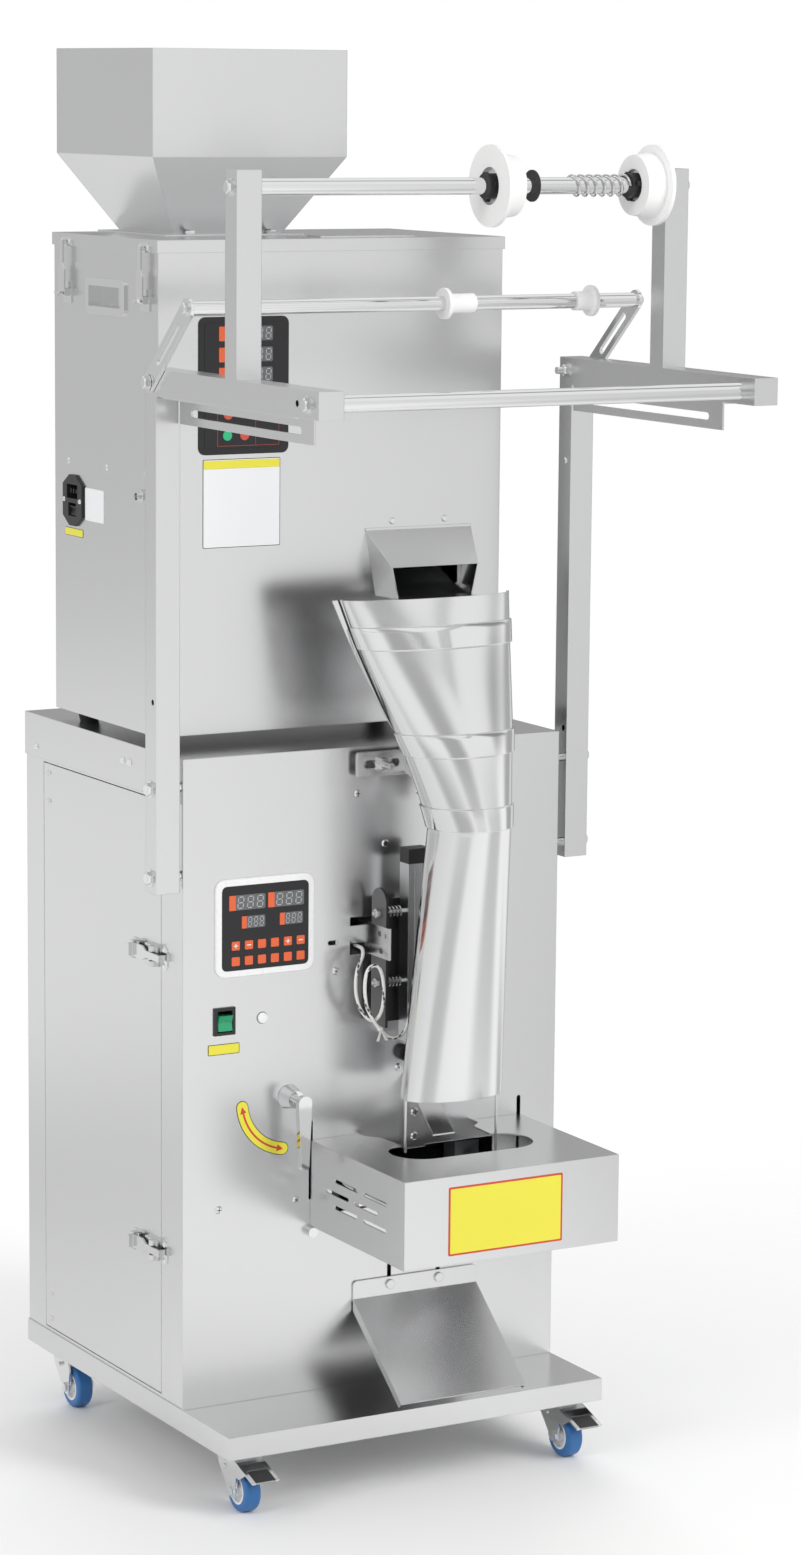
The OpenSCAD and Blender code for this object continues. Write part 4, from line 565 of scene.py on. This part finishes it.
def lathe(bm, profile, centre, axis, steps=48, tint=0, closed=False):
    axis = Vector(axis).normalized()
    side = Vector((0, 0, 1)) if abs(axis.z) < 0.9 else Vector((1, 0, 0))
    u = axis.cross(side).normalized()
    v = axis.cross(u)
    centre = Vector(centre)
    rings = []
    turns = [2 * pi * i / steps for i in range(steps)]
    for along, radius in profile:
        middle = centre + axis * along
        if radius < 1e-7:
            rings.append([bm.verts.new(middle)])
            continue
        rings.append([bm.verts.new(middle + (u * cos(t) + v * sin(t)) * radius) for t in turns])
    pairs = list(zip(rings, rings[1:]))
    if closed:
        pairs.append((rings[-1], rings[0]))
    for a, b in pairs:
        for i in range(steps):
            j = (i + 1) % steps
            if len(a) == 1:
                f = bm.faces.new((a[0], b[j], b[i]))
            elif len(b) == 1:
                f = bm.faces.new((a[i], a[j], b[0]))
            else:
                f = bm.faces.new((a[i], a[j], b[j], b[i]))
            f.material_index = tint


print("geometry nodes")


# Puts one shape on every point of a list: a place, a turn and a size each
def repeated(name, shape, places, materialName, body):
    mesh = bpy.data.meshes.new(name + "Points")
    mesh.from_pydata([p[0] for p in places], [], [])
    turn = mesh.attributes.new("turn", "FLOAT_VECTOR", "POINT")
    size = mesh.attributes.new("size", "FLOAT_VECTOR", "POINT")
    for i, p in enumerate(places):
        turn.data[i].vector = p[1]
        size.data[i].vector = p[2]
    points = bpy.data.objects.new(name + "Points", mesh)
    bpy.context.scene.collection.objects.link(points)

    tree = bpy.data.node_groups.new(name + "Tree", "GeometryNodeTree")
    tree.interface.new_socket("Geometry", in_out="INPUT", socket_type="NodeSocketGeometry")
    shapeIn = tree.interface.new_socket("Shape", in_out="INPUT", socket_type="NodeSocketObject")
    finishIn = tree.interface.new_socket("Finish", in_out="INPUT", socket_type="NodeSocketMaterial")
    tree.interface.new_socket("Geometry", in_out="OUTPUT", socket_type="NodeSocketGeometry")
    ins = tree.nodes.new("NodeGroupInput")
    outs = tree.nodes.new("NodeGroupOutput")
    info = tree.nodes.new("GeometryNodeObjectInfo")
    spread = tree.nodes.new("GeometryNodeInstanceOnPoints")
    real = tree.nodes.new("GeometryNodeRealizeInstances")
    painted = tree.nodes.new("GeometryNodeSetMaterial")
    tree.links.new(ins.outputs["Geometry"], spread.inputs["Points"])
    tree.links.new(ins.outputs["Shape"], info.inputs["Object"])
    tree.links.new(info.outputs["Geometry"], spread.inputs["Instance"])
    for attribute, socket in (("turn", "Rotation"), ("size", "Scale")):
        named = tree.nodes.new("GeometryNodeInputNamedAttribute")
        named.data_type = "FLOAT_VECTOR"
        named.inputs["Name"].default_value = attribute
        tree.links.new(named.outputs["Attribute"], spread.inputs[socket])
    tree.links.new(spread.outputs["Instances"], real.inputs["Geometry"])
    tree.links.new(real.outputs["Geometry"], painted.inputs["Geometry"])
    tree.links.new(ins.outputs["Finish"], painted.inputs["Material"])
    tree.links.new(painted.outputs["Geometry"], outs.inputs["Geometry"])
    modifier = points.modifiers.new("repeat", "NODES")
    modifier.node_group = tree
    modifier[shapeIn.identifier] = shape
    modifier[finishIn.identifier] = finish[materialName]
    settled(name, points, materialName, body)


# Turns the evaluated modifier result into a plain mesh piece
def settled(name, source, materialName, body, smooth=40):
    bpy.context.view_layer.update()
    graph = bpy.context.evaluated_depsgraph_get()
    mesh = bpy.data.meshes.new_from_object(source.evaluated_get(graph))
    mesh.name = name
    mesh.materials.clear()
    mesh.materials.append(finish[materialName])
    for face in mesh.polygons:
        face.use_smooth = True
        face.material_index = 0
    mesh.set_sharp_from_angle(angle=radians(smooth))
    piece = bpy.data.objects.new(name, mesh)
    bpy.context.scene.collection.objects.link(piece)
    bpy.data.objects.remove(source)
    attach(piece, body)


# A pattern shape for the points above: kept out of the scene
def pattern(name, build):
    bm = bmesh.new()
    build(bm)
    bmesh.ops.recalc_face_normals(bm, faces=bm.faces)
    mesh = bpy.data.meshes.new(name)
    bm.to_mesh(mesh)
    bm.free()
    return bpy.data.objects.new(name, mesh)


root = bodyOf["front_panel"]
out = Vector((0, -1, 0))
across = Vector((1, 0, 0))
upward = Vector((0, 0, 1))

# Digits: seven slim bars each, leaning a little
digitShape = {"wide": 1.0, "tall": 1.75, "bar": 0.17, "lean": 0.1}


def buildDigit(bm):
    d = digitShape
    w, h, t = d["wide"] / 2, d["tall"] / 2, d["bar"] / 2
    bars = [((-w, h), (w, h)), ((-w, 0), (w, 0)), ((-w, -h), (w, -h)), ((-w, 0), (-w, h)),
            ((w, 0), (w, h)), ((-w, -h), (-w, 0)), ((w, -h), (w, 0))]
    for a, b in bars:
        a, b = Vector(a), Vector(b)
        along = (b - a).normalized()
        wide = Vector((-along.y, along.x)) * t
        a, b = a + along * t * 1.15, b - along * t * 1.15
        outline = [a, a + along * t - wide, b - along * t - wide,
                   b, b - along * t + wide, a + along * t + wide]
        lean = [(p.x + p.y * d["lean"], p.y) for p in outline]
        plate(bm, lean, (0, 0, 0), across, upward, out, 0.06)


digit = pattern("digitBars", buildDigit)

print("film former")
former = {
    "middle": 53,
    "sections": [(348, -85, 62, 36), (503, -101, 55, 39), (658, -118, 47, 44.5), (681, -112, 52, 43),
                 (736.25, -93, 65, 40), (762.8, -81, 73, 38), (849, -39, 95, 30), (902, -16, 107, 25)],
    "crease": 2,
    "opening": [(348, 168), (658, 166), (681, 150), (791.5, 112), (902, 92)],
    "levels": [348, 658, 681, 902],
    "sheet": 1.2, "hem": 1.6, "hemFrom": 681, "flange": 9, "flangeFrom": 709, "slit": 2.2,
    "bands": [658, 736.25, 849], "bandHeight": 24, "bandOut": 2.4, "bandIn": -0.6, "bandEdge": 0.5,
    "around": 96, "rise": 6,
    "tube": (352, 882), "tubeIn": 5.2,
}


# Value of one column of the sections at a height: smooth, but for the crease at the neck
def sectionAt(z, column):
    table, crease = former["sections"], former["crease"]
    last = len(table) - 1
    i = max(k for k in range(last) if k == 0 or table[k][0] <= z)
    low, high = table[i], table[i + 1]
    span = high[0] - low[0]
    t = min(max((z - low[0]) / span, 0), 1)
    chord = high[column] - low[column]
    start, end = chord, chord
    if i not in (0, crease):
        start = (high[column] - table[i - 1][column]) / (high[0] - table[i - 1][0]) * span
    if i + 1 not in (last, crease):
        end = (table[i + 2][column] - low[column]) / (table[i + 2][0] - low[0]) * span
    return (low[column] + t * start + t * t * (3 * chord - 2 * start - end)
            + t ** 3 * (start + end - 2 * chord))


def openingAt(z):
    table = former["opening"]
    for (z0, a0), (z1, a1) in zip(table, table[1:]):
        if z <= z1:
            return a0 + (a1 - a0) * (z - z0) / (z1 - z0)
    return table[-1][1]


def formerPoint(z, angle, grow):
    t = radians(angle)
    return spot(former["middle"] + (sectionAt(z, 2) + grow) * sin(t),
                sectionAt(z, 1) - (sectionAt(z, 3) + grow) * cos(t), z)


def heights(low, high, step):
    count = max(1, round((high - low) / step))
    return [low + (high - low) * i / count for i in range(count + 1)]


# Skin through rows of points, which may close around
def skin(bm, rows, around=False, ends=False, tint=0):
    verts = [[bm.verts.new(p) for p in row] for row in rows]
    count = len(rows[0])
    for a, b in zip(verts, verts[1:]):
        for i in range(count if around else count - 1):
            j = (i + 1) % count
            bm.faces.new((a[i], a[j], b[j], b[i])).material_index = tint
    if ends:
        bm.faces.new(verts[0][::-1]).material_index = tint
        bm.faces.new(verts[-1]).material_index = tint
    return verts


def tube(bm, path, radius, sides=12, tint=0, unwrapped=None):
    path = [Vector(p) for p in path]
    side = Vector((0, 0, 1)).cross(path[1] - path[0])
    side = side.normalized() if side.length > 1e-6 else Vector((1, 0, 0))
    rows = []
    for i, p in enumerate(path):
        along = (path[min(i + 1, len(path) - 1)] - path[max(i - 1, 0)]).normalized()
        side = (side - along * side.dot(along)).normalized()
        other = along.cross(side)
        rows.append([p + (side * cos(2 * pi * k / sides) + other * sin(2 * pi * k / sides)) * radius
                     for k in range(sides)])
    verts = skin(bm, rows, True, True, tint)
    if unwrapped:
        gone = 0.0
        for i, (a, b) in enumerate(zip(verts, verts[1:])):
            step = (path[i + 1] - path[i]).length / (2 * pi * radius)
            for k in range(sides):
                j = (k + 1) % sides
                face = bm.faces.get((a[k], a[j], b[j], b[k]))
                left, right = k / sides, (k + 1) / sides
                corners = {a[k]: (left, gone), a[j]: (right, gone),
                           b[k]: (left, gone + step), b[j]: (right, gone + step)}
                for loop in face.loops:
                    loop[unwrapped].uv = corners[loop.vert]
            gone += step


def makeFormer(c):
    levels = []
    for low, high in zip(c["levels"], c["levels"][1:]):
        levels += heights(low, high, c["rise"])[:-1]
    levels.append(c["levels"][-1])
    bm = bmesh.new()

    def arc(z, grow):
        half = openingAt(z)
        return [formerPoint(z, -half + 2 * half * i / c["around"], grow) for i in range(c["around"] + 1)]

    # The sheet: its outside, then its inside, as one loop at each height
    skin(bm, [arc(z, 0) + arc(z, -c["sheet"])[::-1] for z in levels], True)
    ends = [arc(z, 0) + arc(z, -c["sheet"])[::-1] for z in (levels[0], levels[-1])]
    for row in ends:
        verts = [bm.verts.new(p) for p in row]
        count = len(row)
        for i in range(count // 2 - 1):
            bm.faces.new((verts[i], verts[i + 1], verts[count - 2 - i], verts[count - 1 - i]))
    bmesh.ops.remove_doubles(bm, verts=bm.verts, dist=1e-6)

    # Rolled hems on the upright edges
    for side in (-1, 1):
        edge = [formerPoint(z, side * openingAt(z), 0) for z in levels if z >= c["hemFrom"]]
        tube(bm, edge, c["hem"] * mm, 12)

    # Bands, with softened edges
    for low in c["bands"]:
        top = low + c["bandHeight"]
        o, e, inner = c["bandOut"], c["bandEdge"], c["bandIn"]
        profile = [(low, inner), (low, o - e), (low + e, o)]
        profile += [(z, o) for z in heights(low + e, top - e, 5)[1:]]
        profile += [(top, o - e), (top, inner)]
        profile += [(z, inner) for z in heights(low, top, c["rise"])[1:-1]][::-1]
        turns = [360 * i / c["around"] for i in range(c["around"])]
        rows = [[formerPoint(z, angle, grow) for z, grow in profile] for angle in turns]
        skin(bm, rows + rows[:1], True, False, 2)
    bmesh.ops.remove_doubles(bm, verts=bm.verts, dist=1e-6)

    # Folded flange along the upper left edge, with a black strip set in the slit beside it as painted
    # shade
    flange = [z for z in levels if z >= c["flangeFrom"]]

    def strip(first, last, back, thick, tint):
        rows = []
        for z in flange:
            edge = formerPoint(z, -openingAt(z), 0)
            wide = c["flange"] * (z - flange[0]) / (flange[-1] - flange[0])
            near, far = first(wide), last(wide)
            corners = [(near, back), (far, back), (far, back + thick), (near, back + thick)]
            rows.append([edge + Vector((-x * mm, y * mm, 0)) for x, y in corners])
        skin(bm, rows, True, True, tint)

    hem, slit = c["hem"], c["slit"]
    strip(lambda w: hem + min(w, slit) + 0.2, lambda w: hem + 0.4 + max(w, slit), -0.6, c["sheet"], 0)
    # The black strip behind the slit is painted shade of the gap
    strip(lambda w: hem - 0.6, lambda w: hem + slit + 0.6, 0.9, 0.6, 1)
    finished("filmFormerSheet", bm, ["formerSteel", "blackPrintAndSlitShade", "bandSteel"], bodyOf["film_former"],
             ["film_former"], 32)


def makeProductTube(c):
    levels = heights(c["tube"][0], c["tube"][1], c["rise"])
    bm = bmesh.new()
    rows = []
    for i in range(c["around"]):
        a = 360 * i / c["around"]
        rows.append([formerPoint(z, a, -c["tubeIn"]) for z in levels]
                    + [formerPoint(z, a, -c["tubeIn"] - c["sheet"]) for z in levels[::-1]])
    skin(bm, rows + rows[:1], True)
    bmesh.ops.remove_doubles(bm, verts=bm.verts, dist=1e-6)
    finished("productTubeWall", bm, ["formerSteel"], bodyOf["product_tube"],
             ["product_tube"], 32)


makeFormer(former)
makeProductTube(former)

print("heater lead")
lead = {
    "radius": 2, "sides": 14, "steps": 8,
    "route": [(-20, 9, 508), (-20, 0, 508), (-23, -14, 508), (-28, -24, 502), (-38, -30, 488),
              (-42, -34, 470), (-40, -36, 452), (-33, -38, 438), (-23, -41, 431), (-16, -45, 440),
              (-14, -48, 458), (-16, -50, 478), (-21, -51, 492), (-28, -50, 496), (-35, -48, 490),
              (-37, -46, 474), (-34, -44, 452), (-27, -44, 436), (-17, -45, 422), (-6, -46, 412),
              (4, -47, 410), (13, -47, 416), (20, -46, 430), (25, -44.5, 446)],
    "tieAt": 18, "tieOut": 1.1, "tieWide": 3.2, "lock": (2.2, 1.2, 2.2),
    "tail": 13, "tailWide": 1.2, "tailThin": 0.4, "tailLeans": (-0.35, 0.5),
}


# Smooth curve through the route's points
def through(points, steps):
    points = [Vector(p) for p in points]
    padded = [2 * points[0] - points[1]] + points + [2 * points[-1] - points[-2]]
    path = []
    for a, b, c, d in zip(padded, padded[1:], padded[2:], padded[3:]):
        for i in range(steps):
            t = i / steps
            path.append(0.5 * (2 * b + (c - a) * t + (2 * a - 5 * b + 4 * c - d) * t * t
                               + (3 * b - a - 3 * c + d) * t ** 3))
    return path + [points[-1]]


def makeHeaterLead(c):
    route = [spot(*p) for p in c["route"]]
    path = through(route, c["steps"])
    length = sum((b - a).length for a, b in zip(path, path[1:]))
    bm = bmesh.new()
    unwrapped = bm.loops.layers.uv.new("braid")
    tube(bm, path, c["radius"] * mm, c["sides"], 0, unwrapped)
    piece = finished("heaterLeadBraid", bm, ["leadSleeve"], bodyOf["heater_lead"],
                     ["heater_lead"], 60)
    print(f"lead {length:.4f} m")
    # The tie: a collar round the lead, a small lock and two tails
    bm = bmesh.new()
    k = c["tieAt"] * c["steps"]
    along = (path[k + 1] - path[k - 1]).normalized()
    r, o, w = c["radius"] * mm, c["tieOut"] * mm, c["tieWide"] * mm / 2
    collar = [(-w, r + 0.0001), (-w, r + o * 0.7), (-w * 0.6, r + o), (w * 0.6, r + o), (w, r + o * 0.7),
              (w, r + 0.0001)]
    lathe(bm, collar, path[k], along, 24, 0, True)
    lock = path[k] + Vector((0, -(r + o), 0))
    half = Vector(c["lock"]) * mm
    block(bm, lock - half, lock + half, 0.0006)
    wide = Vector((c["tailWide"] * mm, 0, 0))
    thin = Vector((0, c["tailThin"] * mm, 0))
    for lean in c["tailLeans"]:
        tip = lock + Vector((lean * c["tail"] * mm, -0.001, -c["tail"] * mm))
        skin(bm, [[p - wide * s - thin, p + wide * s - thin, p + wide * s + thin, p - wide * s + thin]
                  for p, s in ((lock, 0.8), ((lock + tip) / 2, 1.0), (tip, 1.5))], True, True)
    finished("heaterLeadTie", bm, ["tieNylon"], bodyOf["heater_lead"], (), 40)


makeHeaterLead(lead)

print("control panel")
control = {
    "centre": (-139.5, 543), "size": (123, 110), "frame": 7.5, "round": 12, "innerRound": 6, "lift": 3,
    # Displays: places, size, and the width of the key at their left
    "displays": [([(-22.3, 28.5), (26, 28.5)], (44, 17), 8), ([(-14.6, 6), (32.7, 6)], (28, 13.7), 6)],
    "keyColumns": [-37.1, -20.7, -4.5, 11.7, 27.9, 44], "keyRows": [-19.7, -37.2], "key": 10,
    "keyHigh": 0.6, "signs": {"plus": [0, 4], "minus": [1, 5]}, "sign": (5.2, 1.1),
}
cap = {"place": (-141.5, 438.5), "radius": 6, "rim": 6.8, "seat": 0.4, "high": 3}
# Thickness of a printed field, and of a second print on it
printed = 0.0003
overprint = 0.0001


def keyOutline(w, h):
    return roundOutline(w, h, min(w, h) * 0.12, 3)


def makeControlPanel(c):
    base = spot(c["centre"][0], 0, c["centre"][1])
    w, h = c["size"]
    bm = bmesh.new()
    outer = roundOutline(w * mm, h * mm, c["round"] * mm, 8)
    plate(bm, outer, base, across, upward, out, c["lift"] * mm, 0.0008)
    innerW, innerH = (w - 2 * c["frame"]) * mm, (h - 2 * c["frame"]) * mm
    keypad = roundOutline(innerW, innerH, c["innerRound"] * mm, 6)
    plate(bm, keypad, base + out * (c["lift"] - 0.2) * mm, across, upward, out, 0.0005, 0, 1)
    finished("controlPanelFace", bm, ["whiteGloss", "panelBlack"], root, ["control_panel"])

    face = base + out * (c["lift"] + 0.3) * mm
    bm = bmesh.new()
    keys = []
    digits = []
    for places, (dw, dh), tab in c["displays"]:
        for u, v in places:
            at = face + across * u * mm + upward * v * mm
            plate(bm, keyOutline(dw * mm, dh * mm), at, across, upward, out, printed)
            keys.append((u - dw / 2 + tab / 2 - 1, v, tab, dh))
            step = (dw - tab) / 3
            for i in range(3):
                x = u - dw / 2 + tab + step * (i + 0.5) - 0.6
                digits.append((face + across * x * mm + upward * v * mm + out * printed, (0, 0, 0),
                               (step * 0.56 * mm, 0.004, dh * 0.42 * mm)))
    finished("controlDisplays", bm, ["displayGrey"], root)
    for v in c["keyRows"]:
        for u in c["keyColumns"]:
            keys.append((u, v, c["key"], c["key"]))
    bm = bmesh.new()
    for u, v, kw, kh in keys:
        at = face + across * u * mm + upward * v * mm
        plate(bm, keyOutline(kw * mm, kh * mm), at, across, upward, out, c["keyHigh"] * mm, 0.0002)
    finished("controlKeys", bm, ["orange"], root)
    bm = bmesh.new()
    long, thin = c["sign"]
    for kind, columns in c["signs"].items():
        for i in columns:
            at = face + Vector((c["keyColumns"][i], -c["keyHigh"], c["keyRows"][0])) * mm
            plate(bm, keyOutline(long * mm, thin * mm), at, across, upward, out, overprint)
            if kind == "plus":
                plate(bm, keyOutline(thin * mm, long * mm), at, across, upward, out, 0.00012)
    finished("controlSigns", bm, ["whiteLabel"], root)
    repeated("controlDigits", digit, digits, "segment", root)


# The white blanking cap beside the switch, on a thin dark seat
def makeCap(c):
    at = spot(c["place"][0], 0, c["place"][1])
    bm = bmesh.new()
    r, rim, seat, high = [c[key] * mm for key in ("radius", "rim", "seat", "high")]
    lathe(bm, [(0, 0), (0, rim), (seat, rim), (seat, 0)], at, out, 40, 1)
    dome = [(seat, 0), (seat, r), (high - 0.0008, r), (high - 0.0002, r * 0.92)]
    lathe(bm, dome + [(high, r * 0.75), (high, 0)], at, out, 40)
    finished("blankingCap", bm, ["whiteGloss", "castIron"], root)


makeControlPanel(control)
makeCap(cap)

print("weighing panel")
weigh = {
    "centre": (-130, 1134.5), "size": (111, 151), "keyColumn": -27, "displayColumn": 13.5,
    "display": (43, 16), "digit": (5.8, 4, 6.8), "key": (9, 16), "rows": [57, 34, 12],
    "lift": 2, "step": 0.4, "edge": 6.5, "round": 8, "innerRound": 4,
    "roundKeys": [(-20, -31.5, 1), (-21, -54.6, 0), (0.3, -54.6, 1)], "roundKey": 5.6,
    # Thin lines round the round keys: left, right and height, then place, bottom and top
    "linesAcross": [(-33, 43, -19), (-33, 43, -66)],
    "linesUp": [(-33, -66, -19), (14, -66, -19), (43, -66, -19)], "lineHalf": 0.2,
}


def makeWeighingPanel(c):
    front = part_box("upper_housing")[0][1]
    base = Vector((c["centre"][0] * mm, front, deckZ + c["centre"][1] * mm))
    w, h = c["size"]
    bm = bmesh.new()
    outer = roundOutline(w * mm, h * mm, c["round"] * mm, 6)
    plate(bm, outer, base, across, upward, out, c["lift"] * mm, 0.0005)
    finished("weighingPanelFace", bm, ["panelBlack"], root, ["weighing_panel"])
    bm = bmesh.new()
    innerW, innerH = [(side - 2 * c["edge"]) * mm for side in c["size"]]
    face = base + out * c["lift"] * mm
    membrane = roundOutline(innerW, innerH, c["innerRound"] * mm, 6)
    plate(bm, membrane, face, across, upward, out, c["step"] * mm, 0.0002)
    finished("weighingMembrane", bm, ["panelBlack"], root)
    face = face + out * c["step"] * mm
    shown = bmesh.new()
    keys = bmesh.new()
    digits = []
    dw, dh = c["display"]
    kw, kh = c["key"]
    scale = tuple(side * mm for side in c["digit"])
    for v in c["rows"]:
        at = face + upward * v * mm
        middle = at + across * c["displayColumn"] * mm
        plate(shown, keyOutline(dw * mm, dh * mm), middle, across, upward, out, printed)
        middle = at + across * c["keyColumn"] * mm
        plate(keys, keyOutline(kw * mm, kh * mm), middle, across, upward, out, 0.0005)
        for i in range(4):
            x = c["displayColumn"] + dw / 4 * (i - 1.5)
            digits.append((at + across * x * mm + out * printed, (0, 0, 0), scale))
    finished("weighingDisplays", shown, ["displayGrey"], root)
    finished("weighingKeys", keys, ["orange"], root)
    repeated("weighingDigits", digit, digits, "segment", root)
    bm = bmesh.new()
    r = c["roundKey"] * mm
    for u, v, tint in c["roundKeys"]:
        at = face + across * u * mm + upward * v * mm
        lathe(bm, [(0, 0), (0, r), (0.0006, r), (0.0009, r * 0.9), (0.0009, 0)], at, out, 32, tint)
    finished("weighingRoundKeys", bm, ["greenKey", "redKey"], root)
    bm = bmesh.new()
    half = c["lineHalf"]
    lines = [(u0, u1, v - half, v + half, 0.1) for u0, u1, v in c["linesAcross"]]
    lines += [(u - half, u + half, v0, v1, 0.12) for u, v0, v1 in c["linesUp"]]
    for u0, u1, v0, v1, thick in lines:
        block(bm, face + Vector((u0, -thick, v0)) * mm, face + Vector((u1, 0, v1)) * mm)
    finished("weighingLines", bm, ["redKey"], root)


makeWeighingPanel(weigh)

print("screws")
# Places of the pan screws on the front: x, y, z, and the head's radius
screws = {
    "front": [(-22.5, 0, 682, 4.5), (56, 0, 680, 4.5), (13, 0, 623, 4.5), (-49, 0, 482.5, 4.5),
              (32, 0, 364, 4.5), (-195.5, 0, 225, 4.5), (-98, 0, 225, 4.5), (53, -2, 310, 5),
              (53, -2, 282, 5)],
    # The cross, a flat dark plate painted as the shade in the screw's recess, is sized for a head of
    # radius 1: its reach from the middle and its width
    "head": 2.0, "reach": 0.62, "width": 0.2,
}


def buildCross(bm):
    reach, width = screws["reach"], screws["width"]
    for wide, tall, lift in ((2 * reach, width, 0.001), (width, 2 * reach, 0.0)):
        plate(bm, roundOutline(wide, tall, 0.08, 2), (0, -lift, 0), across, upward, out, 0.02)


def makeCrosses(s):
    cross = pattern("crossRecess", buildCross)
    places = []
    for i, (x, y, z, r) in enumerate(s["front"]):
        turn = radians((i * 37) % 90)
        places.append((spot(x, y - s["head"], z), (0, turn, 0), (r * mm, r * mm, r * mm)))
    # The dark crosses are painted shade of the screws' recesses
    repeated("screwCrosses", cross, places, "recessPaintedShade", root)


makeCrosses(screws)

print("labels")
leftward = Vector((-1, 0, 0))
forward = Vector((0, -1, 0))
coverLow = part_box("safety_cover")[0]
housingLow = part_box("upper_housing")[0]
coverBody = bodyOf["safety_cover"]
# Bare labels: place, size in mm, direction along it, direction out of it, finishes of field and border,
# width of the border, body, corner radius
labels = {
    "switchLabel": (spot(-189.5, 0, 407.5), (39, 12), across, out,
                    ["yellowLabel", "blackPrintAndSlitShade"], 0.7, root, 1.5),
    "coverLabel": (Vector((0.0475, coverLow[1], coverLow[2] + 0.0485)), (145, 77), across, out,
                   ["yellowLabel", "redPrint"], 2.2, coverBody, 1.5),
    "guideLabel": (Vector((-0.132, housingLow[1], deckZ + 1.005)), (96, 98), across, out,
                   ["whiteLabel", "blackPrintAndSlitShade"], 0.7, root, 1.5),
    "guideLabelBar": (Vector((-0.132, housingLow[1] - 0.0004, deckZ + 1.048)), (94, 9), across, out,
                      ["yellowLabel", "yellowLabel"], 0.5, root, 0.6),
    "inletLabel": (Vector((housingLow[0], frontY + 0.2335, deckZ + 0.9915)), (49, 37),
                   forward, leftward, ["whiteLabel", "whiteLabel"], 0.6, root, 1.5),
    "voltLabel": (Vector((housingLow[0], frontY + 0.2875, deckZ + 0.9565)), (47, 9),
                  forward, leftward, ["yellowLabel", "blackPrintAndSlitShade"], 0.5, root, 0.6),
}


def makeLabel(name, centre, size, u, n, inks, border, body, corner):
    bm = bmesh.new()
    w, h = size
    plate(bm, roundOutline(w * mm, h * mm, corner * mm, 4), centre, u, upward, n, printed, 0, 1)
    field = roundOutline((w - 2 * border) * mm, (h - 2 * border) * mm, corner * mm * 0.6, 4)
    plate(bm, field, centre + n * printed, u, upward, n, overprint)
    finished(name, bm, inks, body)


for labelName, details in labels.items():
    makeLabel(labelName, *details)

# The crank's arc: a curved band with an arrow at each end
arc = {
    "centre": (-107.5, 345), "radius": 59, "half": 7.5, "border": 0.8, "from": 186, "to": 262,
    "inset": 7, "lineHalf": 1.1, "tip": 8, "tipHalf": 4, "steps": 20, "lineSteps": 16, "endSteps": 7,
}


def arcPoints(radius, start, end, steps):
    turns = [radians(start + (end - start) * i / steps) for i in range(steps + 1)]
    return [(radius * cos(t) * mm, radius * sin(t) * mm) for t in turns]


# Half round end of the band: way is 1 at its last angle, -1 at its first
def arcEnd(a, half, angle, way):
    t = radians(angle)
    radial = Vector((cos(t), sin(t)))
    along = Vector((-sin(t), cos(t)))
    turns = [pi * i / a["endSteps"] for i in range(1, a["endSteps"])]
    return [(radial * a["radius"] + (radial * cos(s) + along * sin(s)) * half * way) * mm for s in turns]


def makeArcLabel(a):
    base = spot(a["centre"][0], 0, a["centre"][1])
    first, last, r = a["from"], a["to"], a["radius"]
    bm = bmesh.new()
    for half, lift, tint in ((a["half"], 0, 1), (a["half"] - a["border"], printed, 0)):
        band = arcPoints(r + half, first, last, a["steps"]) + arcEnd(a, half, last, 1)
        band += arcPoints(r - half, last, first, a["steps"]) + arcEnd(a, half, first, -1)
        plate(bm, band, base + out * lift, across, upward, out, printed, 0, tint)
    finished("crankArcLabel", bm, ["yellowLabel", "blackPrintAndSlitShade"], root)
    bm = bmesh.new()
    first, last, half = first + a["inset"], last - a["inset"], a["lineHalf"]
    line = arcPoints(r + half, first, last, a["lineSteps"])
    line += arcPoints(r - half, last, first, a["lineSteps"])
    face = base + out * 2 * printed
    plate(bm, line, face, across, upward, out, overprint)
    for angle, way in ((first, -1), (last, 1)):
        t = radians(angle)
        radial = Vector((cos(t), sin(t)))
        along = Vector((-sin(t), cos(t))) * way
        middle = radial * r
        tip = [middle + along * a["tip"], middle - radial * a["tipHalf"], middle + radial * a["tipHalf"]]
        plate(bm, [p * mm for p in tip], face, across, upward, out, overprint)
    finished("crankArrow", bm, ["redPrint"], root)


makeArcLabel(arc)
